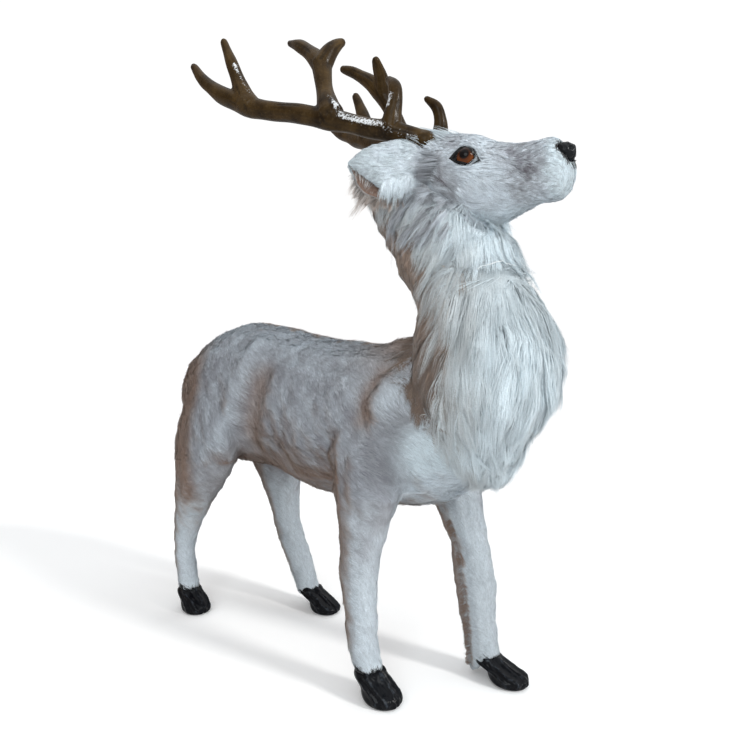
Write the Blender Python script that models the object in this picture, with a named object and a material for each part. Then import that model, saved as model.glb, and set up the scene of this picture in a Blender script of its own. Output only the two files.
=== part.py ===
"""A standing reindeer figure, 0.6 m tall: rigid foam forms on steel wires, covered in glued fur hide.

The antlers, hooves and nose are cast resin and the eyes are glass. The deer faces -Y, its left is +X,
and its hooves stand on z = 0. Lists of sections are in millimetres, and every mesh is in metres.
"""

import math

import bmesh
import bpy
from mathutils import Matrix, Vector

MM = 0.001

# Driving dimensions, in millimetres.
GAP = 0.3  # between pieces that touch
PILE = 5.0  # hide and short fur over the foam
ROD_R = 1.6  # steel wire in the legs and the neck
EYE_R = 7.6
EYE_CENTRE = (23.0, -76.5, 457.5)
EYE_OUT = (0.93, -0.33, 0.15)  # the way the left eye looks
NOSE_CENTRE = (0.0, -149.5, 451.5)
NOSE_RADII = (10.0, 7.8, 8.0)
PEG_BASE = (21.0, -35.0, 479.0)  # where the left antler's peg axis leaves the skull
PEG_AXIS = (0.22, 0.50, 0.84)
PEG_R = 4.0
PEG_LENGTH = 15.0
BURR_R = 9.5
BURR_HEIGHT = 13.0
BURR_SINK = 4.2  # how far the burr sits below the point where the peg's axis leaves the skull
SOCKET_R = 5.6
SOCKET_SPARE = 2.5  # the sleeve is this much longer than the peg
SOCKET_FLOOR = 1.5  # its closed end
HOOF_HALF_WIDTH = 14.5
HOOF_LENGTH = 35.0
CLEFT = (2.4, 12.0, 60.0)  # the slot between the toes: width, depth, height
CLEFT_TILT = -32.0  # degrees, along the front of the hoof
LID_HALF_LENGTH = 13.5
LID_HALF_HEIGHT = 9.2
LID_INNER = 2.6  # from the eye's centre to the back of the lids
LID_OUTER = 5.4  # and to their front
LINING_SHARE = 0.72  # the ear lining's width as a share of the ear's
LINING_HALF_THICKNESS = 1.6

# Each torso section is y, lowest z, highest z, half-width.
TORSO = [
    (333, 232, 262, 20),
    (327, 212, 282, 38),
    (313, 196, 299, 52),
    (290, 183, 317, 62),
    (262, 175, 330, 67),
    (228, 173, 337, 68),
    (190, 175, 334, 65),
    (150, 173, 326, 62),
    (108, 169, 318, 61),
    (66, 165, 313, 62),
    (25, 161, 311, 65),
    (-12, 162, 311, 65),
    (-45, 171, 304, 58),
    (-72, 186, 286, 46),
    (-90, 200, 262, 30),
    (-97, 217, 245, 14),
]

# Each head section is y, lowest z, highest z, half-width.
HEAD = [
    (-6, 448, 470, 12),
    (-13, 434, 482, 23),
    (-30, 418, 490, 31),
    (-52, 405, 489, 34),
    (-75, 402, 483, 32),
    (-93, 406, 473, 26.5),
    (-111, 411, 468, 22),
    (-129, 416, 466, 19.5),
    (-143, 418, 464, 18.5),
    (-152, 424, 458, 14.5),
    (-156, 433, 449, 7),
]

# Each section below is z, centre y, half-width, half-depth.
NECK = [
    (238, -36, 36, 40),
    (280, -52, 40, 46),
    (320, -66, 38, 44),
    (350, -66, 35, 41),
    (380, -52, 33, 38),
    (410, -38, 31, 35),
    (440, -30, 27, 29),
    (462, -30, 20, 20),
]
RUFF_UPPER = [
    (358, -57, 40, 46),
    (370, -55, 44, 53),
    (392, -45, 46, 56),
    (415, -32, 46, 57),
    (437, -14, 42, 51),
    (454, -1, 34, 41),
    (466, 2, 21, 25),
]
RUFF_LOWER = [
    (376, -60, 43, 46),
    (362, -66, 48, 51),
    (340, -76, 54, 54),
    (315, -83, 61, 59),
    (290, -87, 66, 64),
    (265, -88, 65, 60),
    (242, -88, 56, 49),
    (222, -87, 43, 38),
    (205, -87, 28, 27),
    (193, -88, 12, 14),
]
LEGS = {
    "front_right": {
        "x": -50,
        "toe": -29,
        "sections": [
            (22, 3, 13, 13.5),
            (36, 9, 15, 15),
            (54, 14, 16, 16.5),
            (82, 15, 17, 17.5),
            (107, 16, 19, 19.5),
            (132, 14, 20, 21.5),
            (157, 10, 23, 27),
            (180, 6, 26, 36),
            (212, 5, 26, 43),
            (240, 6, 19, 38),
            (262, 8, 8, 24),
        ],
    },
    "front_left": {
        "x": 50,
        "toe": -95,
        "sections": [
            (18, -53, 15.5, 16),
            (34, -48, 17.5, 18),
            (54, -44, 18.5, 19.5),
            (78, -41, 19.5, 21.5),
            (100, -38, 20, 22.5),
            (122, -34, 20, 21.5),
            (145, -26, 22, 24),
            (168, -16, 25, 32),
            (198, -4, 27, 41),
            (238, 4, 20, 40),
            (262, 8, 8, 24),
        ],
    },
    "rear_right": {
        "x": -54,
        "toe": 257,
        "sections": [
            (22, 289, 12.5, 13.5),
            (46, 295, 13.5, 15),
            (76, 297, 14, 15.5),
            (94, 293, 16, 18),
            (112, 286, 18, 22),
            (135, 273, 21, 32),
            (158, 262, 24, 44),
            (185, 254, 26, 56),
            (218, 250, 25, 59),
            (252, 248, 16, 50),
            (280, 246, 6, 30),
        ],
    },
    "rear_left": {
        "x": 46,
        "toe": 144,
        "sections": [
            (20, 187, 15, 16),
            (42, 202, 16.5, 18),
            (69, 218, 17.5, 19),
            (99, 231, 17.5, 19),
            (122, 237, 19, 24),
            (143, 243, 22, 33),
            (165, 248, 27, 44),
            (190, 252, 31, 55),
            (218, 250, 32, 59),
            (252, 248, 24, 50),
            (280, 246, 12, 30),
        ],
    },
}
EAR = {"base": (30, -44, 454), "tip": (74, 3, 463), "half_height": 19.0, "thickness": 7.0}
EAR_FACE = (0.55, -0.62, -0.55)  # the way the left ear's cup opens
EAR_CUP = 0.012  # how fast its edges rise, per mm from its middle line
EAR_WIDTHS = [
    (-0.12, 0.42),
    (0.05, 0.66),
    (0.25, 0.93),
    (0.48, 1.0),
    (0.7, 0.8),
    (0.88, 0.46),
    (1.0, 0.12),
]

# Each section is z, centre y, half-width, half-depth.
TAIL = [
    (286, 331, 9, 7),
    (276, 335, 13, 10),
    (262, 338, 14, 11),
    (246, 339, 12, 9.5),
    (234, 338, 6, 5),
]

# The wire through the neck, from the torso into the head, as x, y, z.
NECK_WIRE = [
    (0, 40, 262),
    (0, -20, 272),
    (0, -60, 318),
    (0, -60, 355),
    (0, -40, 405),
    (0, -40, 445),
]

# The left antler's branches: each point is x, y, z, radius.
ANTLER = [
    [
        (22, -32, 486, 5.5),
        (25, -25, 491, 8.0),
        (32, -8, 498, 9.4),
        (43, 18, 504, 9.2),
        (55, 47, 512, 9.8),
        (66, 78, 517, 8.8),
        (77, 108, 524, 8.8),
        (86, 132, 535, 9.4),
        (94, 158, 550, 7.6),
        (98, 180, 568, 5.6),
        (100, 193, 584, 3.0),
    ],
    [(32, -7, 498, 8.4), (32, -5, 512, 6.8), (30, -1, 528, 5.0), (27, 5, 540, 2.6)],
    [(55, 47, 512, 9.4), (52, 55, 532, 8.4), (47, 62, 552, 7.8), (43, 70, 570, 8.6)],
    [(43, 69, 568, 8.4), (41, 86, 583, 6.8), (39, 105, 597, 5.2), (37, 122, 606, 2.8)],
    [(43, 69, 568, 8.2), (36, 66, 580, 6.6), (29, 64, 589, 5.0), (23, 62, 595, 3.0)],
    [(84, 126, 532, 9.0), (87, 136, 556, 7.0), (89, 147, 580, 5.0), (90, 156, 601, 2.8)],
]

COLOURS = {
    "fur": ((0.62, 0.61, 0.62), 0.95, 0.0),
    "long_fur": ((0.82, 0.85, 0.87), 0.95, 0.0),
    "foam": ((0.80, 0.74, 0.55), 0.9, 0.0),
    "steel": ((0.55, 0.55, 0.57), 0.35, 1.0),
    "hoof": ((0.012, 0.013, 0.016), 0.25, 0.0),
    "antler": ((0.105, 0.07, 0.035), 0.4, 0.0),
    "eye": ((0.25, 0.07, 0.015), 0.05, 0.0),
    "rim": ((0.01, 0.01, 0.01), 0.3, 0.0),
    "nose": ((0.015, 0.015, 0.018), 0.2, 0.0),
    "lining": ((0.36, 0.24, 0.20), 0.8, 0.0),
    "socket": ((0.35, 0.33, 0.30), 0.6, 0.0),
}


def clear_scene():
    for obj in list(bpy.data.objects):
        bpy.data.objects.remove(obj, do_unlink=True)


def new_collection(name):
    collection = bpy.data.collections.new(name)
    bpy.context.scene.collection.children.link(collection)
    return collection


def material(name):
    found = bpy.data.materials.get(name)
    if found:
        return found
    colour, roughness, metallic = COLOURS[name]
    made = bpy.data.materials.new(name)
    made.use_nodes = True
    shader = made.node_tree.nodes["Principled BSDF"]
    shader.inputs["Base Color"].default_value = (*colour, 1.0)
    shader.inputs["Roughness"].default_value = roughness
    shader.inputs["Metallic"].default_value = metallic
    return made


def to_object(bm, name, origin=(0, 0, 0)):
    """Makes an object of a mesh given in millimetres, with the object's origin at the given point."""
    centre = Vector(origin)
    bmesh.ops.translate(bm, verts=bm.verts, vec=-centre)
    bmesh.ops.scale(bm, verts=bm.verts, vec=(MM, MM, MM))
    bmesh.ops.recalc_face_normals(bm, faces=bm.faces)
    mesh = bpy.data.meshes.new(name)
    bm.to_mesh(mesh)
    bm.free()
    obj = bpy.data.objects.new(name, mesh)
    obj.location = centre * MM
    return obj


def as_part(obj, look):
    obj.data.materials.append(material(look))
    PARTS.objects.link(obj)
    obj.data.shade_smooth()
    obj.data.set_sharp_from_angle(angle=math.radians(50))
    return obj


def as_cutter(obj):
    CUTTERS.objects.link(obj)
    obj.hide_render = True
    obj.display_type = "WIRE"
    return obj


def cut(obj, *cutters):
    for cutter in cutters:
        modifier = obj.modifiers.new("cut by " + cutter.name, "BOOLEAN")
        modifier.operation = "DIFFERENCE"
        modifier.solver = "EXACT"
        modifier.object = cutter
    return obj


def loft(rings):
    """Bridges rings of points, in order, and closes both ends."""
    bm = bmesh.new()
    loops = [[bm.verts.new(point) for point in ring] for ring in rings]
    for first, second in zip(loops, loops[1:]):
        count = len(first)
        for i in range(count):
            j = (i + 1) % count
            bm.faces.new((first[i], first[j], second[j], second[i]))
    bm.faces.new(loops[0][::-1])
    bm.faces.new(loops[-1])
    bmesh.ops.recalc_face_normals(bm, faces=bm.faces)
    bmesh.ops.triangulate(bm, faces=bm.faces, quad_method="FIXED")
    bm.normal_update()
    return bm


def grown(bm, distance):
    """Moves the surface out along its own normals."""
    moves = [vert.normal * distance for vert in bm.verts]
    for vert, move in zip(bm.verts, moves):
        vert.co += move
    return bm


def ring_across_y(section, count):
    y, low, high, half_width = section
    middle, half_height = (low + high) / 2, (high - low) / 2
    angles = [2 * math.pi * i / count for i in range(count)]
    return [(half_width * math.cos(a), y, middle + half_height * math.sin(a)) for a in angles]


def ring_across_z(section, count, x=0.0):
    z, y, half_width, half_depth = section
    angles = [2 * math.pi * i / count for i in range(count)]
    return [(x + half_width * math.cos(a), y + half_depth * math.sin(a), z) for a in angles]


def torso(grow):
    return grown(loft([ring_across_y(s, 20) for s in TORSO]), grow)


def head(grow):
    return grown(loft([ring_across_y(s, 16) for s in HEAD]), grow)


def neck(grow):
    return grown(loft([ring_across_z(s, 14) for s in NECK]), grow)


def ruff_upper(grow):
    return grown(loft([ring_across_z(s, 16) for s in RUFF_UPPER]), grow)


def ruff_lower(grow):
    return grown(loft([ring_across_z(s, 18) for s in RUFF_LOWER]), grow)


def leg(side, grow, lower_by=0.0):
    """The leg's form. lower_by draws its foot end down, so that a hollow of this shape is open there."""
    spec = LEGS[side]
    sections = list(spec["sections"])
    z, y, half_width, half_depth = sections[0]
    if lower_by:
        sections[0] = (z - lower_by, y - lean(side) * lower_by, half_width, half_depth)
    sections = [(z, y, width + grow, depth + grow) for z, y, width, depth in sections]
    return loft([ring_across_z(s, 12, spec["x"]) for s in sections])


def lean(side):
    """How far the foot end of the leg leans back, for each millimetre of height."""
    (low_z, low_y, _, _), (high_z, high_y, _, _) = LEGS[side]["sections"][:2]
    return (high_y - low_y) / (high_z - low_z)


def wire_route(side):
    """The wire follows the middle of the leg up into the torso."""
    spec = LEGS[side]
    points = [(spec["x"], y, z) for z, y, _, _ in spec["sections"][:8]]
    first = points[0]
    points[0] = (first[0], first[1] - 2, first[2] - 8)
    return points


def wire_curve(name, points, radius):
    curve = bpy.data.curves.new(name, "CURVE")
    curve.dimensions = "3D"
    curve.bevel_depth = radius * MM
    curve.bevel_resolution = 2
    curve.use_fill_caps = True
    spline = curve.splines.new("POLY")
    spline.points.add(len(points) - 1)
    for point, place in zip(spline.points, points):
        point.co = (*(Vector(place[:3]) * MM), 1.0)
        point.radius = 1.0 if len(place) == 3 else place[3] / radius
    return bpy.data.objects.new(name, curve)


def mesh_of_curve(curve_object, name):
    """A closed mesh with the curve's shape, its end caps welded on."""
    PARTS.objects.link(curve_object)
    graph = bpy.context.evaluated_depsgraph_get()
    mesh = bpy.data.meshes.new_from_object(curve_object.evaluated_get(graph))
    bpy.data.objects.remove(curve_object)
    bm = bmesh.new()
    bm.from_mesh(mesh)
    bmesh.ops.remove_doubles(bm, verts=bm.verts, dist=1e-6)
    bmesh.ops.recalc_face_normals(bm, faces=bm.faces)
    bm.to_mesh(mesh)
    bm.free()
    mesh.name = name
    return bpy.data.objects.new(name, mesh)


def rod(name, points):
    """A steel wire, and the cutter of its bore."""
    wire = mesh_of_curve(wire_curve(name, points, ROD_R), name)
    bore = mesh_of_curve(wire_curve(name + "_bore", points, ROD_R + GAP), name + "_bore")
    return as_part(wire, "steel"), as_cutter(bore)


def ellipsoid(name, centre, radii, segments=12, rings=8):
    bm = bmesh.new()
    bmesh.ops.create_uvsphere(bm, u_segments=segments, v_segments=rings, radius=1.0)
    bmesh.ops.scale(bm, verts=bm.verts, vec=radii)
    bmesh.ops.translate(bm, verts=bm.verts, vec=centre)
    return to_object(bm, name, centre)


def cylinder(name, start, axis, length, radius, segments=12):
    """A cylinder that starts at a point and runs along an axis."""
    direction = Vector(axis).normalized()
    bm = bmesh.new()
    bmesh.ops.create_cone(
        bm, cap_ends=True, segments=segments, radius1=radius, radius2=radius, depth=length
    )
    turn = direction.to_track_quat("Z", "Y").to_matrix().to_4x4()
    place = Matrix.Translation(Vector(start) + direction * (length / 2)) @ turn
    bmesh.ops.transform(bm, matrix=place, verts=bm.verts)
    return to_object(bm, name, start)


def on_side(point, side):
    """A point given for the deer's left, on the asked side (1 left, -1 right)."""
    return (point[0] * side, *point[1:])


def almond(name, side, grow=0.0, outer=LID_OUTER):
    """The outline of the lids, extruded along the way the eye looks, out to the distance outer."""
    half_length, half_height = LID_HALF_LENGTH + grow, LID_HALF_HEIGHT + grow
    looks = Vector(on_side(EYE_OUT, side)).normalized()
    along = Vector((0, 0, 1)).cross(looks).normalized() * side
    up = looks.cross(along).normalized() * side
    centre = Vector(on_side(EYE_CENTRE, side))
    rings = []
    for depth in (LID_INNER - grow, outer):
        ring = []
        for i in range(16):
            angle = 2 * math.pi * i / 16
            lift = half_height * math.sin(angle) * (1 - 0.22 * math.cos(angle) ** 2)
            point = centre + looks * depth + along * (half_length * math.cos(angle)) + up * lift
            ring.append(point)
        rings.append(ring)
    return to_object(loft(rings), name, centre)


def hoof(name, side):
    """A cloven cap. Its toe slopes forward, and a round collar fits up inside the fur sleeve."""
    spec = LEGS[side]
    z_leg, y_leg, half_width, _ = spec["sections"][0]
    toe, x = spec["toe"], spec["x"]
    collar_r = half_width - PILE - 3 * GAP
    top = z_leg - GAP
    collar_y = y_leg + 6.0 * lean(side)
    heel = toe + HOOF_LENGTH
    # Each ring is height at the front, height at the back, front y, back y, half-width.
    rings = [
        (0.0, 0.0, toe + 3, heel - 2, HOOF_HALF_WIDTH - 2),
        (1.6, 1.6, toe + 0.6, heel, HOOF_HALF_WIDTH - 0.6),
        (7.0, 6.0, toe, heel + 3, HOOF_HALF_WIDTH),
        (top * 0.62, top * 0.55, (toe * 2 + y_leg - 14) / 3, heel + 4, HOOF_HALF_WIDTH - 0.4),
        (top - 0.6, top - 0.6, y_leg - 12.5, y_leg + 12.5, 12.5),
        (top - 0.5, top - 0.5, y_leg - collar_r, y_leg + collar_r, collar_r),
        (top + 6.0, top + 6.0, collar_y - collar_r, collar_y + collar_r, collar_r - 0.3),
    ]
    loops = []
    for front_z, back_z, front_y, back_y, half in rings:
        loop = []
        for i in range(16):
            angle = 2 * math.pi * i / 16
            share = (1 - math.cos(angle)) / 2
            y = front_y + (back_y - front_y) * share
            z = front_z + (back_z - front_z) * share
            loop.append((x + half * math.sin(angle), y, z))
        loops.append(loop)
    body = to_object(loft(loops), name, (x, y_leg, 0))
    cleft = bmesh.new()
    bmesh.ops.create_cube(cleft, size=1.0)
    bmesh.ops.scale(cleft, verts=cleft.verts, vec=CLEFT)
    tilt = Matrix.Rotation(math.radians(CLEFT_TILT), 3, "X")
    bmesh.ops.rotate(cleft, verts=cleft.verts, matrix=tilt)
    bmesh.ops.translate(cleft, verts=cleft.verts, vec=(x, toe - 1.0, 6.0))
    cutter = as_cutter(to_object(cleft, name + "_cleft", (x, toe, 6.0)))
    return cut(as_part(body, "hoof"), cutter)


def peg_line(side):
    """The point where the peg's axis leaves the skull, and the axis."""
    return Vector(on_side(PEG_BASE, side)), Vector(on_side(PEG_AXIS, side)).normalized()


def antler(name, side):
    """The beam and its tines as tapered tubes, joined to a burr and a peg along the socket's axis."""
    base, axis = peg_line(side)
    branches = []
    for number, points in enumerate(ANTLER):
        places = [on_side(point, side) for point in points]
        curve = wire_curve(f"{name}_branch_{number}", places, 5.0)
        branches.append(mesh_of_curve(curve, f"{name}_branch_{number}"))
    body = cylinder(name, base - axis * BURR_SINK, axis, BURR_HEIGHT, BURR_R)
    peg_end = base - axis * (BURR_SINK + PEG_LENGTH)
    peg = cylinder(name + "_peg", peg_end, axis, PEG_LENGTH + BURR_SINK, PEG_R)
    for extra in [peg, *branches]:
        as_cutter(extra)
        modifier = body.modifiers.new("join " + extra.name, "BOOLEAN")
        modifier.operation = "UNION"
        modifier.solver = "EXACT"
        modifier.object = extra
    return as_part(body, "antler")


def antler_socket(name, side):
    """A plastic sleeve, open at its mouth, that holds the peg."""
    base, axis = peg_line(side)
    mouth = base - axis * (BURR_SINK + GAP)
    depth = PEG_LENGTH + SOCKET_SPARE
    sleeve = cylinder(name, mouth - axis * depth, axis, depth, SOCKET_R)
    floor = mouth - axis * (depth - SOCKET_FLOOR)
    bore = cylinder(name + "_bore", floor, axis, depth, PEG_R + GAP)
    return cut(as_part(sleeve, "socket"), as_cutter(bore))


def skull_holes(word, side):
    """What the socket, the burr's seat and the hole in the hide cut away, as three round cutters."""
    base, axis = peg_line(side)
    seat = BURR_SINK + GAP
    depths = {
        "socket_hole_": (seat + PEG_LENGTH + SOCKET_SPARE + GAP, SOCKET_R + GAP),
        "burr_seat_": (seat, BURR_R + GAP),
        "burr_hole_": (20.0, BURR_R + GAP),
    }
    return [
        as_cutter(cylinder(start + word, base - axis * depth, axis, depth + 22.0, radius))
        for start, (depth, radius) in depths.items()
    ]


def ear(name, side, grow=0.0):
    """A cupped leaf from the head to the tip."""
    return ear_leaf(name, side, EAR_WIDTHS, EAR["half_height"], EAR["thickness"] / 2, 0.0, grow)


def ear_lining(name, side, grow=0.0):
    """The bare hide that lies in the ear's cup, shorter and narrower than the leaf."""
    widths = EAR_WIDTHS[1:-1]
    half_height, shift = EAR["half_height"] * LINING_SHARE, EAR["thickness"] / 2
    return ear_leaf(name, side, widths, half_height, LINING_HALF_THICKNESS, shift, grow)


def ear_leaf(name, side, widths, half_height, half_thickness, shift, grow):
    """A leaf with a width for each share of the ear's length, moved by shift to its open side."""
    base, tip = Vector(on_side(EAR["base"], side)), Vector(on_side(EAR["tip"], side))
    along = (tip - base).normalized()
    face = Vector((EAR_FACE[0] * side, *EAR_FACE[1:]))
    face = (face - along * face.dot(along)).normalized()
    up = face.cross(along).normalized() * side
    length = (tip - base).length
    rings = []
    for share, width in widths:
        middle = base + along * (length * share)
        half = half_height * width
        thick = half_thickness * (0.55 + 0.45 * width)
        ring = []
        for i in range(10):
            angle = 2 * math.pi * i / 10
            across, out = half * math.cos(angle), thick * math.sin(angle)
            cup = EAR_CUP * across * across
            ring.append(middle + up * across + face * (cup + out + shift))
        rings.append(ring)
    return to_object(grown(loft(rings), grow), name, base)


def build_body():
    """Foam forms, wires, and the hides that cover them."""
    hollow_torso = as_cutter(to_object(torso(-PILE), "torso_hollow"))
    round_torso = as_cutter(to_object(torso(GAP), "torso_clear"))
    round_neck = as_cutter(to_object(neck(GAP), "neck_clear"))
    hollow_head = as_cutter(to_object(head(-PILE), "head_hollow"))
    round_head = as_cutter(to_object(head(GAP), "head_clear"))
    round_ruff = as_cutter(to_object(ruff_upper(GAP), "ruff_upper_clear"))

    torso_core = as_part(to_object(torso(-PILE - GAP), "torso_core"), "foam")
    torso_fur = as_part(to_object(torso(0), "torso_fur"), "fur")
    cut(torso_fur, hollow_torso, round_neck)
    head_core = as_part(to_object(head(-PILE - GAP), "head_core"), "foam")
    head_fur = as_part(to_object(head(0), "head_fur"), "fur")
    cut(head_fur, hollow_head, round_neck)
    neck_core = as_part(to_object(neck(0), "neck_core"), "foam")
    cut(neck_core, hollow_torso, hollow_head)

    _, spine_bore = rod("neck_rod", NECK_WIRE)
    cut(torso_core, spine_bore)
    cut(neck_core, spine_bore)
    cut(head_core, spine_bore)

    cut(as_part(to_object(ruff_upper(0), "neck_ruff_upper"), "long_fur"), round_neck, round_head)
    chest = as_part(to_object(ruff_lower(0), "chest_ruff_lower"), "long_fur")
    cut(chest, round_neck, round_ruff, round_torso)

    for side in LEGS:
        _, bore = rod("leg_rod_" + side, wire_route(side))
        hollow = as_cutter(to_object(leg(side, -PILE, lower_by=14), f"leg_{side}_hollow"))
        form = to_object(leg(side, -PILE - 1.5 * GAP, lower_by=-7), "leg_core_" + side)
        cut(as_part(form, "foam"), hollow_torso, bore)
        sleeve = as_part(to_object(leg(side, 0), "leg_fur_" + side), "fur")
        cut(sleeve, hollow, round_torso)
        cut(torso_fur, hollow)
        cut(torso_core, bore)
        cut(hoof("hoof_" + side, side), bore)
    return head_core, head_fur, round_head


def build_face(head_core, head_fur, round_head):
    """Eyes, lids, nose, ears and antlers, on both sides."""
    nose = as_part(ellipsoid("nose", NOSE_CENTRE, NOSE_RADII), "nose")
    nose_seat = as_cutter(ellipsoid("nose_seat", NOSE_CENTRE, [r + GAP for r in NOSE_RADII]))
    cut(head_core, nose_seat)
    cut(head_fur, nose_seat)
    for side, word in ((1, "left"), (-1, "right")):
        centre = on_side(EYE_CENTRE, side)
        as_part(ellipsoid("eye_" + word, centre, [EYE_R] * 3), "eye")
        seat = as_cutter(ellipsoid("eye_seat_" + word, centre, [EYE_R + GAP] * 3))
        rim = as_part(almond("eye_rim_" + word, side), "rim")
        rim_seat = as_cutter(almond("eye_rim_seat_" + word, side, GAP, outer=14.0))
        cut(rim, seat)
        cut(head_core, seat, rim_seat)
        cut(head_fur, seat, rim_seat)

        antler("antler_" + word, side)
        antler_socket("antler_socket_" + word, side)
        socket_hole, burr_seat, burr_hole = skull_holes(word, side)
        cut(head_core, socket_hole, burr_seat)
        cut(head_fur, burr_hole)

        leaf = as_part(ear("ear_" + word, side), "long_fur")
        lining = as_part(ear_lining("ear_lining_" + word, side), "lining")
        lining_seat = as_cutter(ear_lining("ear_lining_seat_" + word, side, GAP))
        cut(leaf, round_head, lining_seat)
        cut(lining, round_head)
        cut(bpy.data.objects["neck_ruff_upper"], as_cutter(ear("ear_clear_" + word, side, GAP)))


def build_tail():
    tail = as_part(to_object(loft([ring_across_z(s, 12) for s in TAIL]), "tail"), "long_fur")
    cut(tail, bpy.data.objects["torso_clear"])


def centre_on_origin():
    """Brings the middle of the whole figure's box over the origin, with the hooves still on z = 0."""
    bpy.context.view_layer.update()
    graph = bpy.context.evaluated_depsgraph_get()
    corners = []
    for obj in PARTS.objects:
        seen = obj.evaluated_get(graph)
        corners += [seen.matrix_world @ Vector(corner) for corner in seen.bound_box]
    shift = Vector((0, 0, 0))
    for axis in (0, 1):
        values = [corner[axis] for corner in corners]
        shift[axis] = -(min(values) + max(values)) / 2
    for obj in [*PARTS.objects, *CUTTERS.objects]:
        obj.location += shift


clear_scene()
PARTS = new_collection("reindeer")
CUTTERS = new_collection("reindeer_cutters")
build_face(*build_body())
build_tail()
centre_on_origin()
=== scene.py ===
"""Looks of the standing fur reindeer: hides with fur, long ruffs, antlers, eyes, nose, ears and hooves.

Tables are in millimetres in the deer's own frame: x to its left, y to its back, z up. at() turns them into the
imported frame, in metres.
"""

import math

import bmesh
import bpy
import numpy as np
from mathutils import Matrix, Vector
from mathutils.bvhtree import BVHTree
from mathutils.kdtree import KDTree


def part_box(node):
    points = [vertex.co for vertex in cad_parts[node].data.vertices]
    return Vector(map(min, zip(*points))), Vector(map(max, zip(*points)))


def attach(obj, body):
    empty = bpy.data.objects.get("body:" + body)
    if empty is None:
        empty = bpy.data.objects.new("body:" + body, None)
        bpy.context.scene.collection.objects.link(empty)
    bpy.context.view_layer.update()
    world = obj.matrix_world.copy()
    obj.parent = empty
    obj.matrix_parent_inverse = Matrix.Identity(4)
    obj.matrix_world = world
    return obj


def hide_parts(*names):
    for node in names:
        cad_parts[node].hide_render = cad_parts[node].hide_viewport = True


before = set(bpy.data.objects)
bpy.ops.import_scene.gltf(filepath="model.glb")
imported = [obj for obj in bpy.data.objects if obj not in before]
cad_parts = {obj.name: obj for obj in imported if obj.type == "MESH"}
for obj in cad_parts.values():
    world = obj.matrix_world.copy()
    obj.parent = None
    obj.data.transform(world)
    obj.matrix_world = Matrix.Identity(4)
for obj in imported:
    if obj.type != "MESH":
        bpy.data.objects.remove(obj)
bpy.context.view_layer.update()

MM = 0.001
SHARE, WIDER = ((1.0, 1.0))  # of the strands, and how much wider they are
MOST_TRIANGLES = 190000  # in one piece of fur
BLOCK = 0.006
ROOT_DEPTH = 0.3  # how far below the skin a strand starts
NOTHING = 1e-9  # the density where no fur grows: above 0, so that the weights never add up to none

EYE_CENTRE = (23.0, -76.5, 457.5)
EYE_OUT = (0.93, -0.33, 0.15)
EYE_R = 7.6
NOSE_CENTRE = (0.0, -149.5, 451.5)
NOSE_RADII = (9.4, 7.8, 7.4)
NOSE_BARE = (10.0, 7.8, 8.0)  # the radii of the black skin round it
PEG_BASE = (21.0, -35.0, 479.0)
PEG_AXIS = (0.22, 0.50, 0.84)
# Each hoof's middle across, toe and top, and the middle of its leg.
LEGS = {
    "front_right": {"x": -50, "toe": -29, "top": 22, "leg_y": 3},
    "front_left": {"x": 50, "toe": -95, "top": 18, "leg_y": -53},
    "rear_right": {"x": -54, "toe": 257, "top": 22, "leg_y": 289},
    "rear_left": {"x": 46, "toe": 144, "top": 20, "leg_y": 187}
}

low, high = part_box("eye_left")
SHIFT = (low.y + high.y) / 2 / MM - EYE_CENTRE[1]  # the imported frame's y less the deer's y, in mm


def at(points):
    """From the deer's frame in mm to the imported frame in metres."""
    return (np.asarray(points, float) + (0, SHIFT, 0)) * MM


def deer(points):
    """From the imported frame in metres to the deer's frame in mm."""
    return np.asarray(points, float) / MM - (0, SHIFT, 0)


def unit(vectors):
    return vectors / np.maximum(np.linalg.norm(vectors, axis=-1, keepdims=True), 1e-12)


def smoothstep(low, high, values):
    """0 up to low, 1 from high on, and a soft step between them. With low over high it falls instead."""
    share = np.clip((values - low) / (high - low), 0, 1)
    return share * share * (3 - 2 * share)


def waves(points, size, seed, octaves=3):
    """Smooth noise of about unit spread, over points in mm, whose features are about size mm across."""
    rng = np.random.default_rng(seed)
    total, weight, power = 0.0, 1.0, 0.0
    for _ in range(octaves):
        ways = rng.normal(size=(7, 3)) * (2.2 / size)
        phases = rng.random(7) * 2 * math.pi
        total = total + weight * np.sin(points @ ways.T + phases).sum(axis=1) / math.sqrt(3.5)
        power += weight * weight
        size /= 2.1
        weight *= 0.6
    return total / math.sqrt(power)


def distance_to_path(points, path):
    """From each point to the nearest place on a line through the path's points."""
    best = np.full(len(points), np.inf)
    path = np.asarray(path, float)
    for start, end in zip(path, path[1:]):
        way = end - start
        share = np.clip(((points - start) @ way) / (way @ way), 0, 1)
        best = np.minimum(best, np.linalg.norm(points - start - share[:, None] * way, axis=1))
    return best


def near_side(points):
    """The points with x mirrored to the deer's right, so that one table serves both sides."""
    mirrored = points.copy()
    mirrored[:, 0] = -np.abs(mirrored[:, 0])
    return mirrored


def sided(point, side):
    """A point or direction given for the deer's left, mirrored where side is -1."""
    return np.array(point) * (side, 1, 1)


def near(places, where, radius, power=2):
    """1 at a point or along a path, fading out round the radius: the higher the power, the sharper its edge."""
    away = distance_to_path(places, where) if np.ndim(where) > 1 else np.linalg.norm(places - where, axis=1)
    return np.exp(-((away / radius) ** power))


def even(vector, places):
    """The same vector or colour at every place."""
    return np.tile(vector, (len(places), 1))


def plain(value):
    """The same value at every place, as a function of the places."""
    return lambda places: np.full(len(places), float(value))


# ---------------------------------------------------------------- meshes


def linked(name, data):
    """A new object in the scene."""
    obj = bpy.data.objects.new(name, data)
    bpy.context.scene.collection.objects.link(obj)
    return obj


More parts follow.
